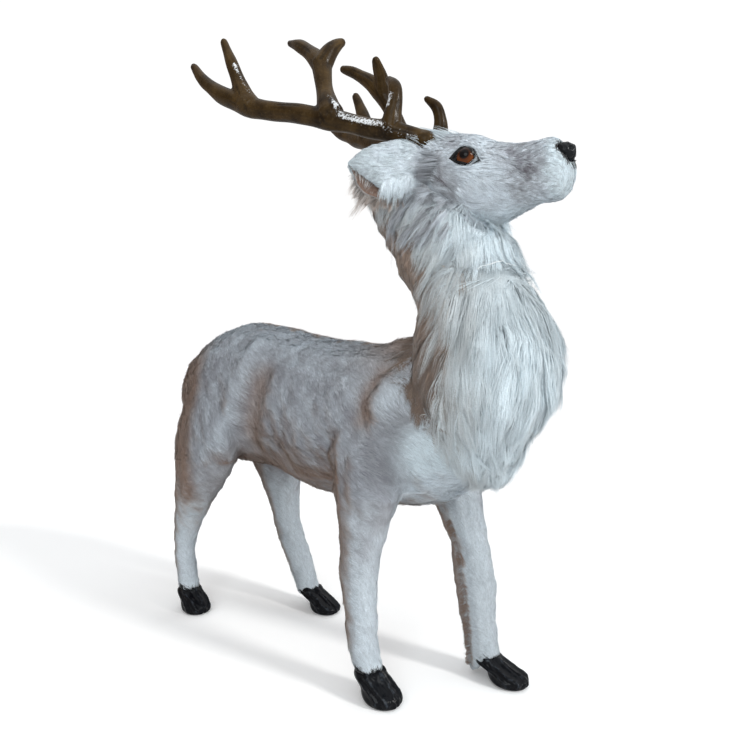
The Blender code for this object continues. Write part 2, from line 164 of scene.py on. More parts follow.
def arrays_of(mesh):
    """A mesh's points, and its triangles as indices of three points each."""
    mesh.calc_loop_triangles()
    points = np.empty(len(mesh.vertices) * 3, np.float32)
    mesh.vertices.foreach_get("co", points)
    triangles = np.empty(len(mesh.loop_triangles) * 3, np.int32)
    mesh.loop_triangles.foreach_get("vertices", triangles)
    return points.reshape(-1, 3).astype(float), triangles.reshape(-1, 3)


def normals_of(points, triangles):
    corners = points[triangles]
    across = np.cross(corners[:, 1] - corners[:, 0], corners[:, 2] - corners[:, 0])
    normals = np.zeros_like(points)
    for corner in range(3):
        for axis in range(3):
            column = np.bincount(triangles[:, corner], across[:, axis], len(points))
            normals[:, axis] += column
    return unit(normals)


def make(name, points, triangles, normals=None, floats=(), colours=(), uv=None):
    """A mesh object of triangles, with its own normals and attributes where they are given."""
    mesh = bpy.data.meshes.new(name)
    mesh.vertices.add(len(points))
    mesh.vertices.foreach_set("co", np.ascontiguousarray(points, np.float32).ravel())
    mesh.loops.add(len(triangles) * 3)
    mesh.loops.foreach_set("vertex_index", np.ascontiguousarray(triangles, np.int32).ravel())
    mesh.polygons.add(len(triangles))
    mesh.polygons.foreach_set("loop_start", np.arange(0, len(triangles) * 3, 3, dtype=np.int32))
    mesh.update(calc_edges=True)
    for key, values in dict(floats).items():
        column = mesh.attributes.new(key, "FLOAT", "POINT")
        column.data.foreach_set("value", np.ascontiguousarray(values, np.float32))
    for key, values in dict(colours).items():
        column = mesh.attributes.new(key, "FLOAT_COLOR", "POINT")
        rgba = np.ones((len(points), 4), np.float32)
        rgba[:, :3] = values
        column.data.foreach_set("color", rgba.ravel())
    if uv is not None:
        layer = mesh.uv_layers.new(name="OFBake")
        layer.data.foreach_set("uv", np.ascontiguousarray(uv[triangles.ravel()], np.float32).ravel())
    mesh.shade_smooth()
    if normals is not None:
        custom = mesh.attributes.new("custom_normal", "FLOAT_VECTOR", "POINT")
        custom.data.foreach_set("vector", np.ascontiguousarray(normals, np.float32).ravel())
    return linked(name, mesh)


def of_bmesh(bm):
    """The points and triangles of a bmesh, which is used up."""
    bmesh.ops.triangulate(bm, faces=bm.faces)
    mesh = bpy.data.meshes.new("work")
    bm.to_mesh(mesh)
    bm.free()
    found = arrays_of(mesh)
    bpy.data.meshes.remove(mesh)
    return found


def primitive(create, **settings):
    """The arrays of one of bmesh's own shapes."""
    bm = bmesh.new()
    create(bm, **settings)
    return of_bmesh(bm)


def largest_island(points, triangles):
    """The largest piece that hangs together."""
    bm = bmesh.new()
    verts = [bm.verts.new(point) for point in points]
    for a, b, c in triangles:
        bm.faces.new((verts[a], verts[b], verts[c]))
    unseen, best = set(bm.verts), []
    while unseen:
        found = [unseen.pop()]
        for vert in found:
            for edge in vert.link_edges:
                other = edge.other_vert(vert)
                if other in unseen:
                    unseen.remove(other)
                    found.append(other)
        if len(found) > len(best):
            best = found
    bmesh.ops.delete(bm, geom=list(set(bm.verts) - set(best)), context="VERTS")
    return of_bmesh(bm)


def remeshed(points, triangles, voxel, passes):
    """One closed skin over everything, with even faces of about voxel mm, smoothed."""
    obj = make("work", points, triangles)
    remesh = obj.modifiers.new("remesh", "REMESH")
    remesh.mode = "VOXEL"
    remesh.voxel_size = voxel * MM
    smooth = obj.modifiers.new("smooth", "SMOOTH")
    smooth.iterations = passes
    seen = obj.evaluated_get(bpy.context.evaluated_depsgraph_get())
    found = arrays_of(seen.to_mesh())
    seen.to_mesh_clear()
    mesh = obj.data
    bpy.data.objects.remove(obj)
    bpy.data.meshes.remove(mesh)
    return largest_island(*found)


def cad_arrays(*nodes):
    """The meshes of these CAD nodes as one."""
    bm = bmesh.new()
    for name in nodes:
        bm.from_mesh(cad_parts[name].data)
    bmesh.ops.remove_doubles(bm, verts=bm.verts, dist=1e-6)
    return of_bmesh(bm)


def joined(parts):
    """Several lots of points and triangles as one."""
    points, triangles, count = [], [], 0
    for part_points, part_triangles in parts:
        points.append(part_points)
        triangles.append(part_triangles + count)
        count += len(part_points)
    return np.concatenate(points), np.concatenate(triangles)


class Skin:
    """A smooth surface that fur grows on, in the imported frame."""

    def __init__(self, points, triangles):
        self.points, self.triangles = points, triangles
        self.refresh()

    def refresh(self):
        self.normals = normals_of(self.points, self.triangles)
        self.face_normals = unit(self.normals[self.triangles].sum(axis=1))
        self.tree = BVHTree.FromPolygons(self.points.tolist(), self.triangles.tolist())

    def pushed(self, distance):
        """Moves the surface along its normals, by mm, and returns itself."""
        self.points = self.points + self.normals * (np.asarray(distance) * MM)[..., None]
        self.refresh()
        return self

    def nearest(self, points):
        found = [self.tree.find_nearest(point) for point in points.tolist()]
        places = np.array([hit[0] for hit in found])
        return places, self.face_normals[[hit[2] for hit in found]]


def sculpted(skin, bumps):
    """Pushes the skin in or out round places and along paths. Each bump is where, its radius and its height."""
    places = near_side(deer(skin.points))
    moved = np.zeros(len(places))
    for where, radius, height in bumps:
        moved += height * near(places, where, radius)
    return skin.pushed(moved)


# ---------------------------------------------------------------- materials


def new_material(name, roughness, specular=0.5, **more):
    """A node material, its even values set on the shader's own sockets, and the shader and tree to build on."""
    made = bpy.data.materials.new(name)
    made.use_nodes = True
    tree = made.node_tree
    shader = tree.nodes["Principled BSDF"]
    shader.inputs["Roughness"].default_value = roughness
    shader.inputs["Specular IOR Level"].default_value = specular
    for key, value in more.items():
        shader.inputs[key.replace("_", " ")].default_value = value
    return made, tree, shader


def node(tree, kind, inputs=(), **settings):
    made = tree.nodes.new(kind)
    for key, value in settings.items():
        setattr(made, key, value)
    for key, value in dict(inputs).items():
        if isinstance(value, bpy.types.NodeSocket):
            tree.links.new(value, made.inputs[key])
        else:
            made.inputs[key].default_value = value
    return made


def carried(tree, name, output="Fac"):
    """A value or colour that the mesh carries at its points."""
    return node(tree, "ShaderNodeAttribute", attribute_name=name).outputs[output]


def places_of(tree):
    return node(tree, "ShaderNodeTexCoord").outputs["Object"]


def noise(tree, scale, detail=3.0, vector=None, distortion=0.0):
    inputs = {"Scale": scale, "Detail": detail, "Distortion": distortion}
    inputs["Vector"] = vector or places_of(tree)
    return node(tree, "ShaderNodeTexNoise", inputs).outputs["Fac"]


def ranged(tree, value, low, high, to_low=0.0, to_high=1.0):
    inputs = {"Value": value, "From Min": low, "From Max": high, "To Min": to_low, "To Max": to_high}
    return node(tree, "ShaderNodeMapRange", inputs).outputs["Result"]


def maths(tree, operation, first, second):
    return node(tree, "ShaderNodeMath", {0: first, 1: second}, operation=operation).outputs[0]


def mixed(tree, share, first, second, how="MIX"):
    """One colour mixed with another, each a colour or a socket."""
    made = node(tree, "ShaderNodeMix", data_type="RGBA", blend_type=how)
    for index, value in ((0, share), (6, first), (7, second)):
        if isinstance(value, bpy.types.NodeSocket):
            tree.links.new(value, made.inputs[index])
        elif index:
            made.inputs[index].default_value = (*value, 1.0)
        else:
            made.inputs[index].default_value = value
    return made.outputs[2]


def shaded(tree, colour, amount):
    """The colour times a grey amount."""
    grey = node(tree, "ShaderNodeCombineColor", {0: amount, 1: amount, 2: amount}).outputs[0]
    return mixed(tree, 1.0, colour, grey, "MULTIPLY")


def bumped(tree, shader, height, distance, strength=1.0):
    inputs = {"Height": height, "Distance": distance, "Strength": strength}
    bump = node(tree, "ShaderNodeBump", inputs)
    tree.links.new(bump.outputs["Normal"], shader.inputs["Normal"])


def to_colour(tree, shader, colour):
    tree.links.new(colour, shader.inputs["Base Color"])


def fur_material(name, root_shade, roughness, specular, sheen):
    """Strands: each has its own tint, darker at the root as painted shade, with a little noise along it."""
    made, tree, shader = new_material(name, roughness, specular, Sheen_Weight=sheen, Sheen_Roughness=0.5)
    # From root_shade at the root up to 1 a little past the middle: painted shade among the strands.
    along = ranged(tree, carried(tree, "along"), 0.0, 0.55, root_shade, 1.0)
    fine = ranged(tree, noise(tree, 900.0, 2.0), 0.3, 0.7, 0.9, 1.1)
    to_colour(
        tree, shader, shaded(tree, carried(tree, "tint", "Color"), maths(tree, "MULTIPLY", along, fine))
    )
    return made


def hide_material(name, shade):
    """The fur's own under-layer, which shows only between strands: its tint darkened as painted shade."""
    made, tree, shader = new_material(name, 0.9, 0.2, Sheen_Weight=0.2, Sheen_Roughness=0.5)
    # Darker than the strands over it: painted shade under the fur.
    fine = ranged(tree, noise(tree, 1400.0, 4.0), 0.25, 0.75, shade * 0.7, shade * 1.2)
    to_colour(tree, shader, shaded(tree, carried(tree, "tint", "Color"), fine))
    bumped(tree, shader, noise(tree, 1400.0, 3.0), 0.0006, 0.6)
    return made


def foam_material():
    made, tree, shader = new_material("foam", 0.9, 0.2)
    cells = node(
        tree, "ShaderNodeTexVoronoi", {"Vector": places_of(tree), "Scale": 420.0}
    ).outputs["Distance"]
    to_colour(tree, shader, mixed(tree, ranged(tree, cells, 0.0, 0.6), (0.84, 0.78, 0.58), (0.7, 0.62, 0.42)))
    bumped(tree, shader, cells, 0.0005)
    return made


def flecked(name, scale, detail, first, second, roughness, specular, **more):
    """One colour flecked with another."""
    made, tree, shader = new_material(name, roughness, specular, **more)
    to_colour(tree, shader, mixed(tree, noise(tree, scale, detail), first, second))
    return made


def steel_material():
    return flecked("steel", 700.0, 4.0, (0.42, 0.42, 0.44), (0.62, 0.62, 0.63), 0.35, 0.5, Metallic=1.0)


def plastic_material():
    return flecked("socket", 500.0, 3.0, (0.30, 0.28, 0.26), (0.40, 0.38, 0.35), 0.55, 0.4)


def antler_material():
    """Dark olive-brown resin, with white paint dry-brushed on the raised grain where the mask asks for it."""
    made, tree, shader = new_material("antler", 0.32, 0.09, Coat_Weight=0.05, Coat_Roughness=0.1)
    broad = noise(tree, 60.0, 5.0)
    fine = noise(tree, 380.0, 5.0)
    brown = mixed(tree, ranged(tree, broad, 0.3, 0.7), (0.016, 0.008, 0.002), (0.068, 0.039, 0.012))
    groove = carried(tree, "groove")
    brown = mixed(tree, ranged(tree, groove, 0.0, 1.0, 0.0, 0.5), brown, (0.005, 0.003, 0.0015))
    brown = mixed(tree, ranged(tree, fine, 0.56, 0.7, 0.0, 0.3), brown, (0.09, 0.06, 0.028))
    brush = carried(tree, "brush")
    grain = noise(tree, 700.0, 6.0, distortion=0.6)
    reach = maths(tree, "ADD", grain, maths(tree, "MULTIPLY", brush, 0.46))
    reach = maths(tree, "SUBTRACT", reach, maths(tree, "MULTIPLY", groove, 0.12))
    white = ranged(tree, reach, 0.79, 0.93)
    to_colour(tree, shader, mixed(tree, white, brown, (0.66, 0.68, 0.70)))
    bumped(tree, shader, maths(tree, "ADD", fine, maths(tree, "MULTIPLY", grain, 0.5)), 0.0004, 0.7)
    return made


def hoof_material():
    made, tree, shader = new_material("hoof", 0.2, 0.11, Coat_Weight=0.05, Coat_Roughness=0.06)
    ridge = carried(tree, "ridge")
    # Painted highlight: paler blue-grey streaks on the tops of the front ridges.
    painted_highlight = maths(tree, "MULTIPLY", ridge, ranged(tree, noise(tree, 300.0, 4.0), 0.45, 0.65))
    black = mixed(tree, noise(tree, 120.0, 3.0), (0.002, 0.002, 0.003), (0.006, 0.007, 0.009))
    to_colour(tree, shader, mixed(tree, painted_highlight, black, (0.03, 0.036, 0.045)))
    bumped(tree, shader, noise(tree, 260.0, 2.0), 0.0004, 0.35)
    return made


def nose_material():
    made, tree, shader = new_material("nose", 0.25, 0.08, Coat_Weight=0.1, Coat_Roughness=0.08)
    leather = node(
        tree, "ShaderNodeTexVoronoi", {"Vector": places_of(tree), "Scale": 900.0}
    ).outputs["Distance"]
    to_colour(tree, shader, mixed(tree, leather, (0.005, 0.006, 0.007), (0.012, 0.013, 0.015)))
    bumped(tree, shader, leather, 0.0002, 0.5)
    return made


def rim_material():
    """The eyelids' black."""
    dark, pale = (0.004, 0.004, 0.004), (0.014, 0.013, 0.012)
    return flecked("rim", 400.0, 3.0, dark, pale, 0.32, 0.12, Coat_Weight=0.1, Coat_Roughness=0.12)


def eye_material():
    """Amber glass: a black pupil, a dark brown iris with fine rays that lightens outwards, and a dark edge."""
    made, tree, shader = new_material("eye", 0.12, 0.03, Coat_Weight=0.25, Coat_Roughness=0.03)
    turn = carried(tree, "turn")  # radians from the way the eye looks
    rays = carried(tree, "rays")
    iris = mixed(tree, ranged(tree, turn, 0.5, 1.1), (0.05, 0.014, 0.004), (0.20, 0.060, 0.016))
    iris = mixed(tree, ranged(tree, rays, 0.0, 1.0, 0.0, 0.45), iris, (0.10, 0.022, 0.004))
    lit = carried(tree, "lit")  # from the shaded top of the iris to its bottom
    iris = mixed(tree, ranged(tree, lit, -0.3, 0.35, 0.0, 0.94), iris, (0.018, 0.006, 0.003))
    iris = mixed(tree, ranged(tree, turn, 1.02, 1.25), iris, (0.02, 0.006, 0.003))
    to_colour(tree, shader, mixed(tree, ranged(tree, turn, 0.46, 0.6), (0.004, 0.003, 0.003), iris))
    return made


def thread_and_highlight_material():
    """The pale line at the seam between the ruffs: hair and thread, and a painted highlight along the seam."""
    return flecked("seam_thread_and_highlight", 900.0, 3.0, (0.66, 0.70, 0.72), (0.9, 0.92, 0.92), 0.7, 0.2)


def lining_material():
    """The ear's bare hide, brown-pink, with fine creases."""
    made, tree, shader = new_material("lining", 0.75, 0.3)
    creases = noise(tree, 420.0, 5.0, distortion=0.8)
    to_colour(
        tree, shader, mixed(tree, ranged(tree, creases, 0.3, 0.7), (0.20, 0.125, 0.095), (0.36, 0.25, 0.20))
    )
    bumped(tree, shader, creases, 0.0005, 0.7)
    return made


# ---------------------------------------------------------------- fur


def planted(skin, triangles, count, density, rng):
    """Roots spread over some of the skin's triangles, with the surface's normals there."""
    corners = skin.points[triangles]
    area = np.linalg.norm(np.cross(corners[:, 1] - corners[:, 0], corners[:, 2] - corners[:, 0]), axis=1)
    weights = area * density(deer(corners.mean(axis=1)))
    picked = rng.choice(len(triangles), int(count), p=weights / weights.sum())
    first, second = rng.random(int(count)), rng.random(int(count))
    over = first + second > 1
    first[over], second[over] = 1 - first[over], 1 - second[over]
    shares = np.stack([1 - first - second, first, second], axis=1)[:, :, None]
    roots = (corners[picked] * shares).sum(axis=1)
    normals = unit((skin.normals[triangles[picked]] * shares).sum(axis=1))
    blocks = np.floor(roots / BLOCK).astype(int)  # so that a part of the strands lies together
    order = np.lexsort((blocks[:, 0], blocks[:, 1], blocks[:, 2]))
    return roots[order], normals[order]


def grown(skin, roots, normals, heading, length, rise, steps, profile, droop=0.0):
    """Lines that run over the skin from their roots, at a height that profile gives for each share of the way.

    Without a skin they stand free and hang.
    """
    lines = np.empty((len(roots), steps + 1, 3))
    ups = np.empty_like(lines)
    lines[:, 0], ups[:, 0] = roots - normals * ROOT_DEPTH * MM, normals
    here, up = roots, normals
    way = unit(heading)
    for step in range(1, steps + 1):
        guess = here + way * (length / steps)[:, None]
        if skin is None:
            here = guess
        else:
            touched, up = skin.nearest(guess)
            here = touched + up * (rise * profile(step / steps))[:, None]
        lines[:, step], ups[:, step] = here, up
        way = way + np.array((0, 0, -droop))
        way = unit(way if skin is None else way - up * (way * up).sum(axis=1, keepdims=True))
    return lines, ups


def locks_of(roots, count, rng):
    """Gathers the roots round leaders: for each root, its lock and the root that leads it."""
    leaders = rng.choice(len(roots), max(1, int(count)), replace=False)
    tree = KDTree(len(leaders))
    for index, leader in enumerate(leaders):
        tree.insert(roots[leader], index)
    tree.balance()
    lock = np.array([tree.find(root)[1] for root in roots.tolist()])
    return lock, leaders[lock]


def strand_mesh(name, lines, ups, width, tint, rng, roll=0.35, tilt=0.3):
    """Flat tapered blades along the lines, shaded mostly by the skin's own normals."""
    count, rings = lines.shape[0], lines.shape[1]
    ways = unit(np.gradient(lines, axis=1))
    across = unit(np.cross(ups, ways))
    turn = rng.normal(0, roll, (count, 1, 1))
    across = across * np.cos(turn) + np.cross(ways, across) * np.sin(turn)
    shares = np.linspace(0, 1, rings)
    half = 0.5 * width[:, None] * (1 - shares**1.6)[None, :]
    half[:, 0] *= 0.8
    left, right = lines - across * half[..., None], lines + across * half[..., None]
    lean = rng.normal(0, tilt, (count, 1, 1)) * across + rng.normal(0, tilt * 0.6, (count, 1, 1)) * ways
    shading = unit(ups + lean)
    body = np.stack([left[:, :-1], right[:, :-1]], axis=2).reshape(count, -1, 3)
    points = np.concatenate([body, lines[:, -1:]], axis=1)
    body_normals = np.repeat(shading[:, :-1], 2, axis=1)
    normals = np.concatenate([body_normals, shading[:, -1:]], axis=1)
    per = 2 * (rings - 1) + 1
    along = np.concatenate([np.repeat(shares[:-1], 2), [1.0]])
    pattern = []
    for ring in range(rings - 2):
        a = 2 * ring
        pattern += [(a, a + 3, a + 1), (a, a + 2, a + 3)]
    pattern.append((per - 3, per - 1, per - 2))
    pattern = np.array(pattern)
    made = []
    most = MOST_TRIANGLES // len(pattern)
    pieces = max(1, math.ceil(count / most))
    for piece in range(pieces):
        part = slice(count * piece // pieces, count * (piece + 1) // pieces)
        size = part.stop - part.start
        triangles = (np.arange(size)[:, None, None] * per + pattern[None]).reshape(-1, 3)
        grid = math.ceil(math.sqrt(size))
        cells = np.arange(size)
        sideways = np.concatenate([np.tile([0.1, 0.9], rings - 1), [0.5]])
        u = ((cells % grid)[:, None] + 0.1 + 0.8 * along[None]) / grid
        v = ((cells // grid)[:, None] + sideways[None]) / grid
        uv = np.stack([u, v], axis=-1).reshape(-1, 2)
        made.append(
            make(
                name if pieces == 1 else f"{name}_{piece + 1}", points[part].reshape(-1, 3), triangles,
                normals[part].reshape(-1, 3), {"along": np.tile(along, size)},
                {"tint": np.repeat(tint[part], per, axis=0)}, uv
            )
        )
    return made


def ride(obj, material, slot, body, *nodes):
    """Gives a piece its material and its body, and the CAD nodes that it replaces. Its slot is not used."""
    obj.data.materials.clear()
    obj.data.materials.append(material)
    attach(obj, body)
    if nodes:
        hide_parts(*nodes)
    return obj


def sheet(name, skin, triangles, tint_of, material, slot, cad):
    """Some of the skin's triangles as a piece of their own, which takes the place of a CAD node."""
    used, index = np.unique(triangles, return_inverse=True)
    points, normals = skin.points[used], skin.normals[used]
    colours = {"tint": tint_of(deer(points), normals)} if tint_of else {}
    made = make(name, points, index.reshape(-1, 3), normals, colours=colours)
    ride(made, material, slot, "figure", cad)


def turned(vectors, normals, angle):
    """Vectors turned about the normals by an angle for each."""
    cosine, sine = np.cos(angle)[:, None], np.sin(angle)[:, None]
    return vectors * cosine + np.cross(normals, vectors) * sine


def coat(name, skin, triangles, count, look, slot, seed, over=None):
    """Fur over some of the skin's triangles, lying on the skin or over another one. look says how it lies."""
    rng = np.random.default_rng(seed)
    roots, normals = planted(skin, triangles, count * SHARE, look["density"], rng)
    places = deer(roots)
    lock, leader = locks_of(roots, len(roots) / look["per_lock"], rng)
    turns, lengths, rises, shades = (rng.normal(0, 1, lock.max() + 1)[lock] for _ in range(4))
    heading = look["comb"](places, normals)
    if not look["free"]:
        heading = heading - normals * (heading * normals).sum(axis=1, keepdims=True)
    heading = unit(heading)
    turn = look["swirl"] * waves(places, look["swirl_size"], seed + 5)
    turn += look["lock_turn"] * turns + rng.normal(0, look["stray"], len(roots))
    heading = turned(heading, normals, turn)
    length = look["length"](places) * rng.uniform(0.75, 1.12, len(roots)) * np.exp(
        look["lock_length"] * lengths
    )
    rise = look["rise"] * MM * np.exp(look["lock_rise"] * rises) * rng.uniform(0.5, 1.25, len(roots))
    rise = np.minimum(rise * look["rise_at"](places) * length / look["nominal"], look["rise_most"] * MM)
    lines, ups = grown(
        None if look["free"] else over or skin, roots, normals, heading, length * MM, rise, look["steps"],
        look["profile"], look["droop"]
    )
    share = np.linspace(0, 1, lines.shape[1]) ** 1.3
    lines = lines + (lines[leader] - lines) * (look["pull"] * share)[None, :, None]
    shade = look["lock_shade"] * shades + rng.normal(0, look["shade"], len(lines))
    tint = look["tint"](places, normals) * np.exp(shade)[:, None]
    tint *= np.minimum(1.0, 0.96 / tint.max(axis=1))[:, None]
    width = look["width"] * MM * rng.uniform(0.7, 1.3, len(lines)) * WIDER
    for piece in strand_mesh(name, lines, ups, width, tint, rng, look["roll"], look["tilt"]):
        ride(piece, look["material"], slot, "figure")


# How fur lies. Lengths, heights and widths are in mm, angles in radians, the locks' spreads in logarithms.
SHORT_FUR = {
    "free": False, "density": plain(1), "swirl": 0.16, "swirl_size": 32, "stray": 0.09, "length": plain(9),
    "nominal": 8.0, "rise": 2.0, "rise_at": plain(1), "rise_most": 4.0, "steps": 2,
    "profile": lambda share: 1 - (1 - share) ** 2, "droop": 0.0, "per_lock": 9, "pull": 0.4,
    "lock_turn": 0.08, "lock_length": 0.1, "lock_rise": 0.15, "lock_shade": 0.06, "shade": 0.055,
    "width": 0.32, "roll": 0.3, "tilt": 0.14
}
LONG_FUR = {
    **SHORT_FUR, "swirl": 0.14, "stray": 0.07, "nominal": 40.0, "rise": 4.0, "rise_most": 9.0, "steps": 5,
    "profile": lambda share: 0.30 + 0.70 * share if share < 1 else 1.35, "droop": 0.12, "per_lock": 60,
    "pull": 0.52, "lock_turn": 0.11, "lock_length": 0.2, "lock_rise": 0.36, "lock_shade": 0.04, "shade": 0.03,
    "width": 0.36, "roll": 0.2, "tilt": 0.12
}


# ---------------------------------------------------------------- colours of the fur

GREY = np.array((0.455, 0.48, 0.525))
PALE = np.array((0.80, 0.88, 0.94))
DARK = np.array((0.30, 0.305, 0.33))
BROWN = np.array((0.40, 0.265, 0.195))
TAN = np.array((0.56, 0.38, 0.26))
COOL_WHITE = np.array((0.78, 0.88, 0.93))
BLACK = np.array((0.02, 0.02, 0.022))
LIP_BLACK = np.array((0.03, 0.03, 0.032))
NAPE_BROWN_AND_SHADE = np.array((0.29, 0.205, 0.155))
NAPE_EDGE = np.array((0.56, 0.57, 0.56))
WISP_BROWN = np.array((0.42, 0.34, 0.29))


def stacked(x, y, z):
    """Vectors from their three columns, some of which may be single numbers."""
    return np.stack(np.broadcast_arrays(x, y, z), axis=1)


def blend(first, second, share):
    """The first colour, turned towards the second by a share for each place."""
    return first + (second - first) * np.asarray(share)[..., None]


def dabbed(tint, places, dabs):
    """Dabs of colour, blended in one after the other. Each is a colour, its strength, where and a radius."""
    for colour, strength, where, radius in dabs:
        tint = blend(tint, colour, strength * near(places, where, radius))
    return tint


def mottled(points, size, seed, base, spread, octaves=3):
    """A share that wanders round a base by about a spread, and stays from 0 to 1."""
    return np.clip(base + spread * waves(points, size, seed, octaves), 0, 1)


HAUNCH_STRIP = [(-42, 170, 309), (-60, 178, 276), (-64, 194, 244), (-64, 205, 205)]
THIGH_VALLEY = [(-58, 150, 278), (-62, 160, 245), (-50, 176, 205)]
SHOULDER_CREASE = [(-46, -4, 288), (-57, 3, 272), (-64, 5, 250), (-68, 3, 236)]
SHOULDER = (-58, -19, 264)
WITHERS = (0, -4, 318)
BREAST = [(-52, -55, 222), (-42, -60, 205), (-34, -58, 195)]


def painted_shade_share(normals):
    """Where painted shade turns the fur brown: on surfaces that face back and down."""
    return smoothstep(-0.1, 0.6, normals @ unit(np.array((0.0, 0.9, -0.42))))


def body_tint(places, normals):
    """Silver-grey, paler on the breast and between the front legs, brown on the withers. Painted light: paler
    on top, on the shoulder and along the haunch strip, tan on the back's top. Painted shade: darker under the
    ruff and the shoulder, brown in the folds, on the rump, under the belly and where the surface faces back and
    down.
    """
    x, y, z = places.T
    spots = near_side(places)
    tint = blend(
        GREY, PALE, np.clip(0.06 + 0.15 * waves(places, 17, 21) + 0.10 * waves(places, 6, 22), -0.25, 0.5)
    )
    # Painted light: paler where the surface faces up.
    tint = blend(tint, PALE, 0.45 * smoothstep(0.35, 0.9, normals[:, 2]))
    # Painted light: paler along the raised haunch strip and on the shoulder's bulge.
    tint = dabbed(tint, spots, [(PALE, 0.36, HAUNCH_STRIP, 12), (PALE, 0.75, SHOULDER, 19)])
    # Painted shade: darker below the shoulder and under the ruff's edge.
    shade = near(spots, (-60, -40, 246), 15)
    shade += 0.8 * near(spots, (-64, -22, 212), 20)
    tint = blend(tint, DARK, np.clip(0.85 * shade, 0, 0.85))
    tint = dabbed(tint, spots, [(DARK, 0.3, (-62, -10, 240), 22)])
    tint = blend(tint, COOL_WHITE * 1.06, 0.95 * near(spots, BREAST, 27, 4))
    # Painted shade: brown in the thigh's valley and the shoulder's crease.
    folds = near(spots, THIGH_VALLEY, 14)
    folds += near(spots, SHOULDER_CREASE[:3], 10)
    tint = blend(tint, BROWN, np.clip(0.85 * folds, 0, 0.9))
    # Painted shade: brown under the belly where the surface faces down.
    below = smoothstep(212, 182, z) * smoothstep(0.1, -0.7, normals[:, 2]) * smoothstep(0, 45, y)
    tint = blend(tint, BROWN * 0.8, 0.85 * below)
    # Painted warm light: tan where the surface faces up and to the deer's left, along the back's top.
    painted_warm_top = smoothstep(
        -0.18, 0.22, normals[:, 0] + 0.15 * waves(places, 20, 23)
    ) * smoothstep(0.4, 0.8, normals[:, 2])
    tint = blend(tint, TAN, 0.75 * painted_warm_top)
    tint = dabbed(tint, places, [(BROWN, 0.85, WITHERS, 42)])
    # Painted shade: brown on the rump, behind and low.
    rear = smoothstep(238, 264, y) * smoothstep(325, 285, z)
    tint = blend(tint, BROWN * 0.85, 0.9 * rear)
    under = smoothstep(12, -22, y) * smoothstep(216, 196, z) * smoothstep(50, 38, np.abs(x))
    tint = blend(tint, PALE, 0.9 * under)
    # Painted shade: brown where the surface faces back and down.
    return blend(tint, BROWN * 0.8, 0.95 * painted_shade_share(normals))


# Where the front left leg's hide was glued shut, behind on its inner side.
LEG_SEAM = [(31, -24, 145), (33, -30, 121), (33, -36, 108), (34, -41, 63), (36, -43, 35), (37, -44, 14)]


def leg_tint(pale_from, pale_to, most, white, painted, clean=1000.0):
    """Paler downwards, brown as painted shade where it faces back and down. Below a height the fur is blackened
    with a ragged edge, but not behind a certain y.
    """

    def tint_of(places, normals):
        tint = body_tint(places, normals * (0.0, 0.0, 0.2))
        y, z = places.T[1:]
        height = z + 9 * waves(places, 14, 31)
        tint = blend(tint, PALE * white, most * smoothstep(pale_from, pale_to, height))
        # Painted shade: brown where the surface faces back and down, above the hoof.
        tint = blend(tint, BROWN * 0.85, 0.85 * painted_shade_share(normals) * smoothstep(30, 60, z))
        seam = distance_to_path(places, LEG_SEAM) + 0.5 * waves(places, 4, 33)
        tint = blend(tint, BROWN * 0.7, 0.9 * smoothstep(2.6, 1.0, seam))
        black = smoothstep(1.0, -0.6, z - painted - 1.6 * waves(places, 3.2, 32))
        return blend(tint, BLACK, black * smoothstep(clean + 4, clean - 4, y))

    return tint_of


# ---------------------------------------------------------------- the body


def torso_comb(places, normals):
    """Forwards and down on the flanks, straight forwards along the back."""
    down = -0.55 - 0.25 * smoothstep(120, 260, places[:, 1])
    return stacked(np.sign(places[:, 0]) * 0.25, -1.0, down)


def leg_comb(places, normals):
    """Round the leg towards its front, with a little fall."""
    down = -0.42 - 1.2 * smoothstep(-0.3, -0.9, normals[:, 1])
    return stacked(0.0, -1.0, down)


def kept_under(foam, skin, depth):
    """Draws the foam in where it comes nearer than so many mm to the skin."""
    places, normals = skin.nearest(foam.points)
    over = ((foam.points - places) * normals).sum(axis=1) + depth * MM
    foam.points = foam.points - normals * np.maximum(over, 0)[:, None]
    foam.refresh()
    return foam


# Where the legs' fur pieces part from the torso's: below this height, but not between the legs.
LEG_TOP = 182
BELLY_MIDDLE = 100
BELLY_HALF = 17
BELLY_BOTTOM = 150
STRANDS = {
    "torso": 300000, "front_right": 56000, "front_left": 46000, "rear_right": 52000, "rear_left": 46000
}


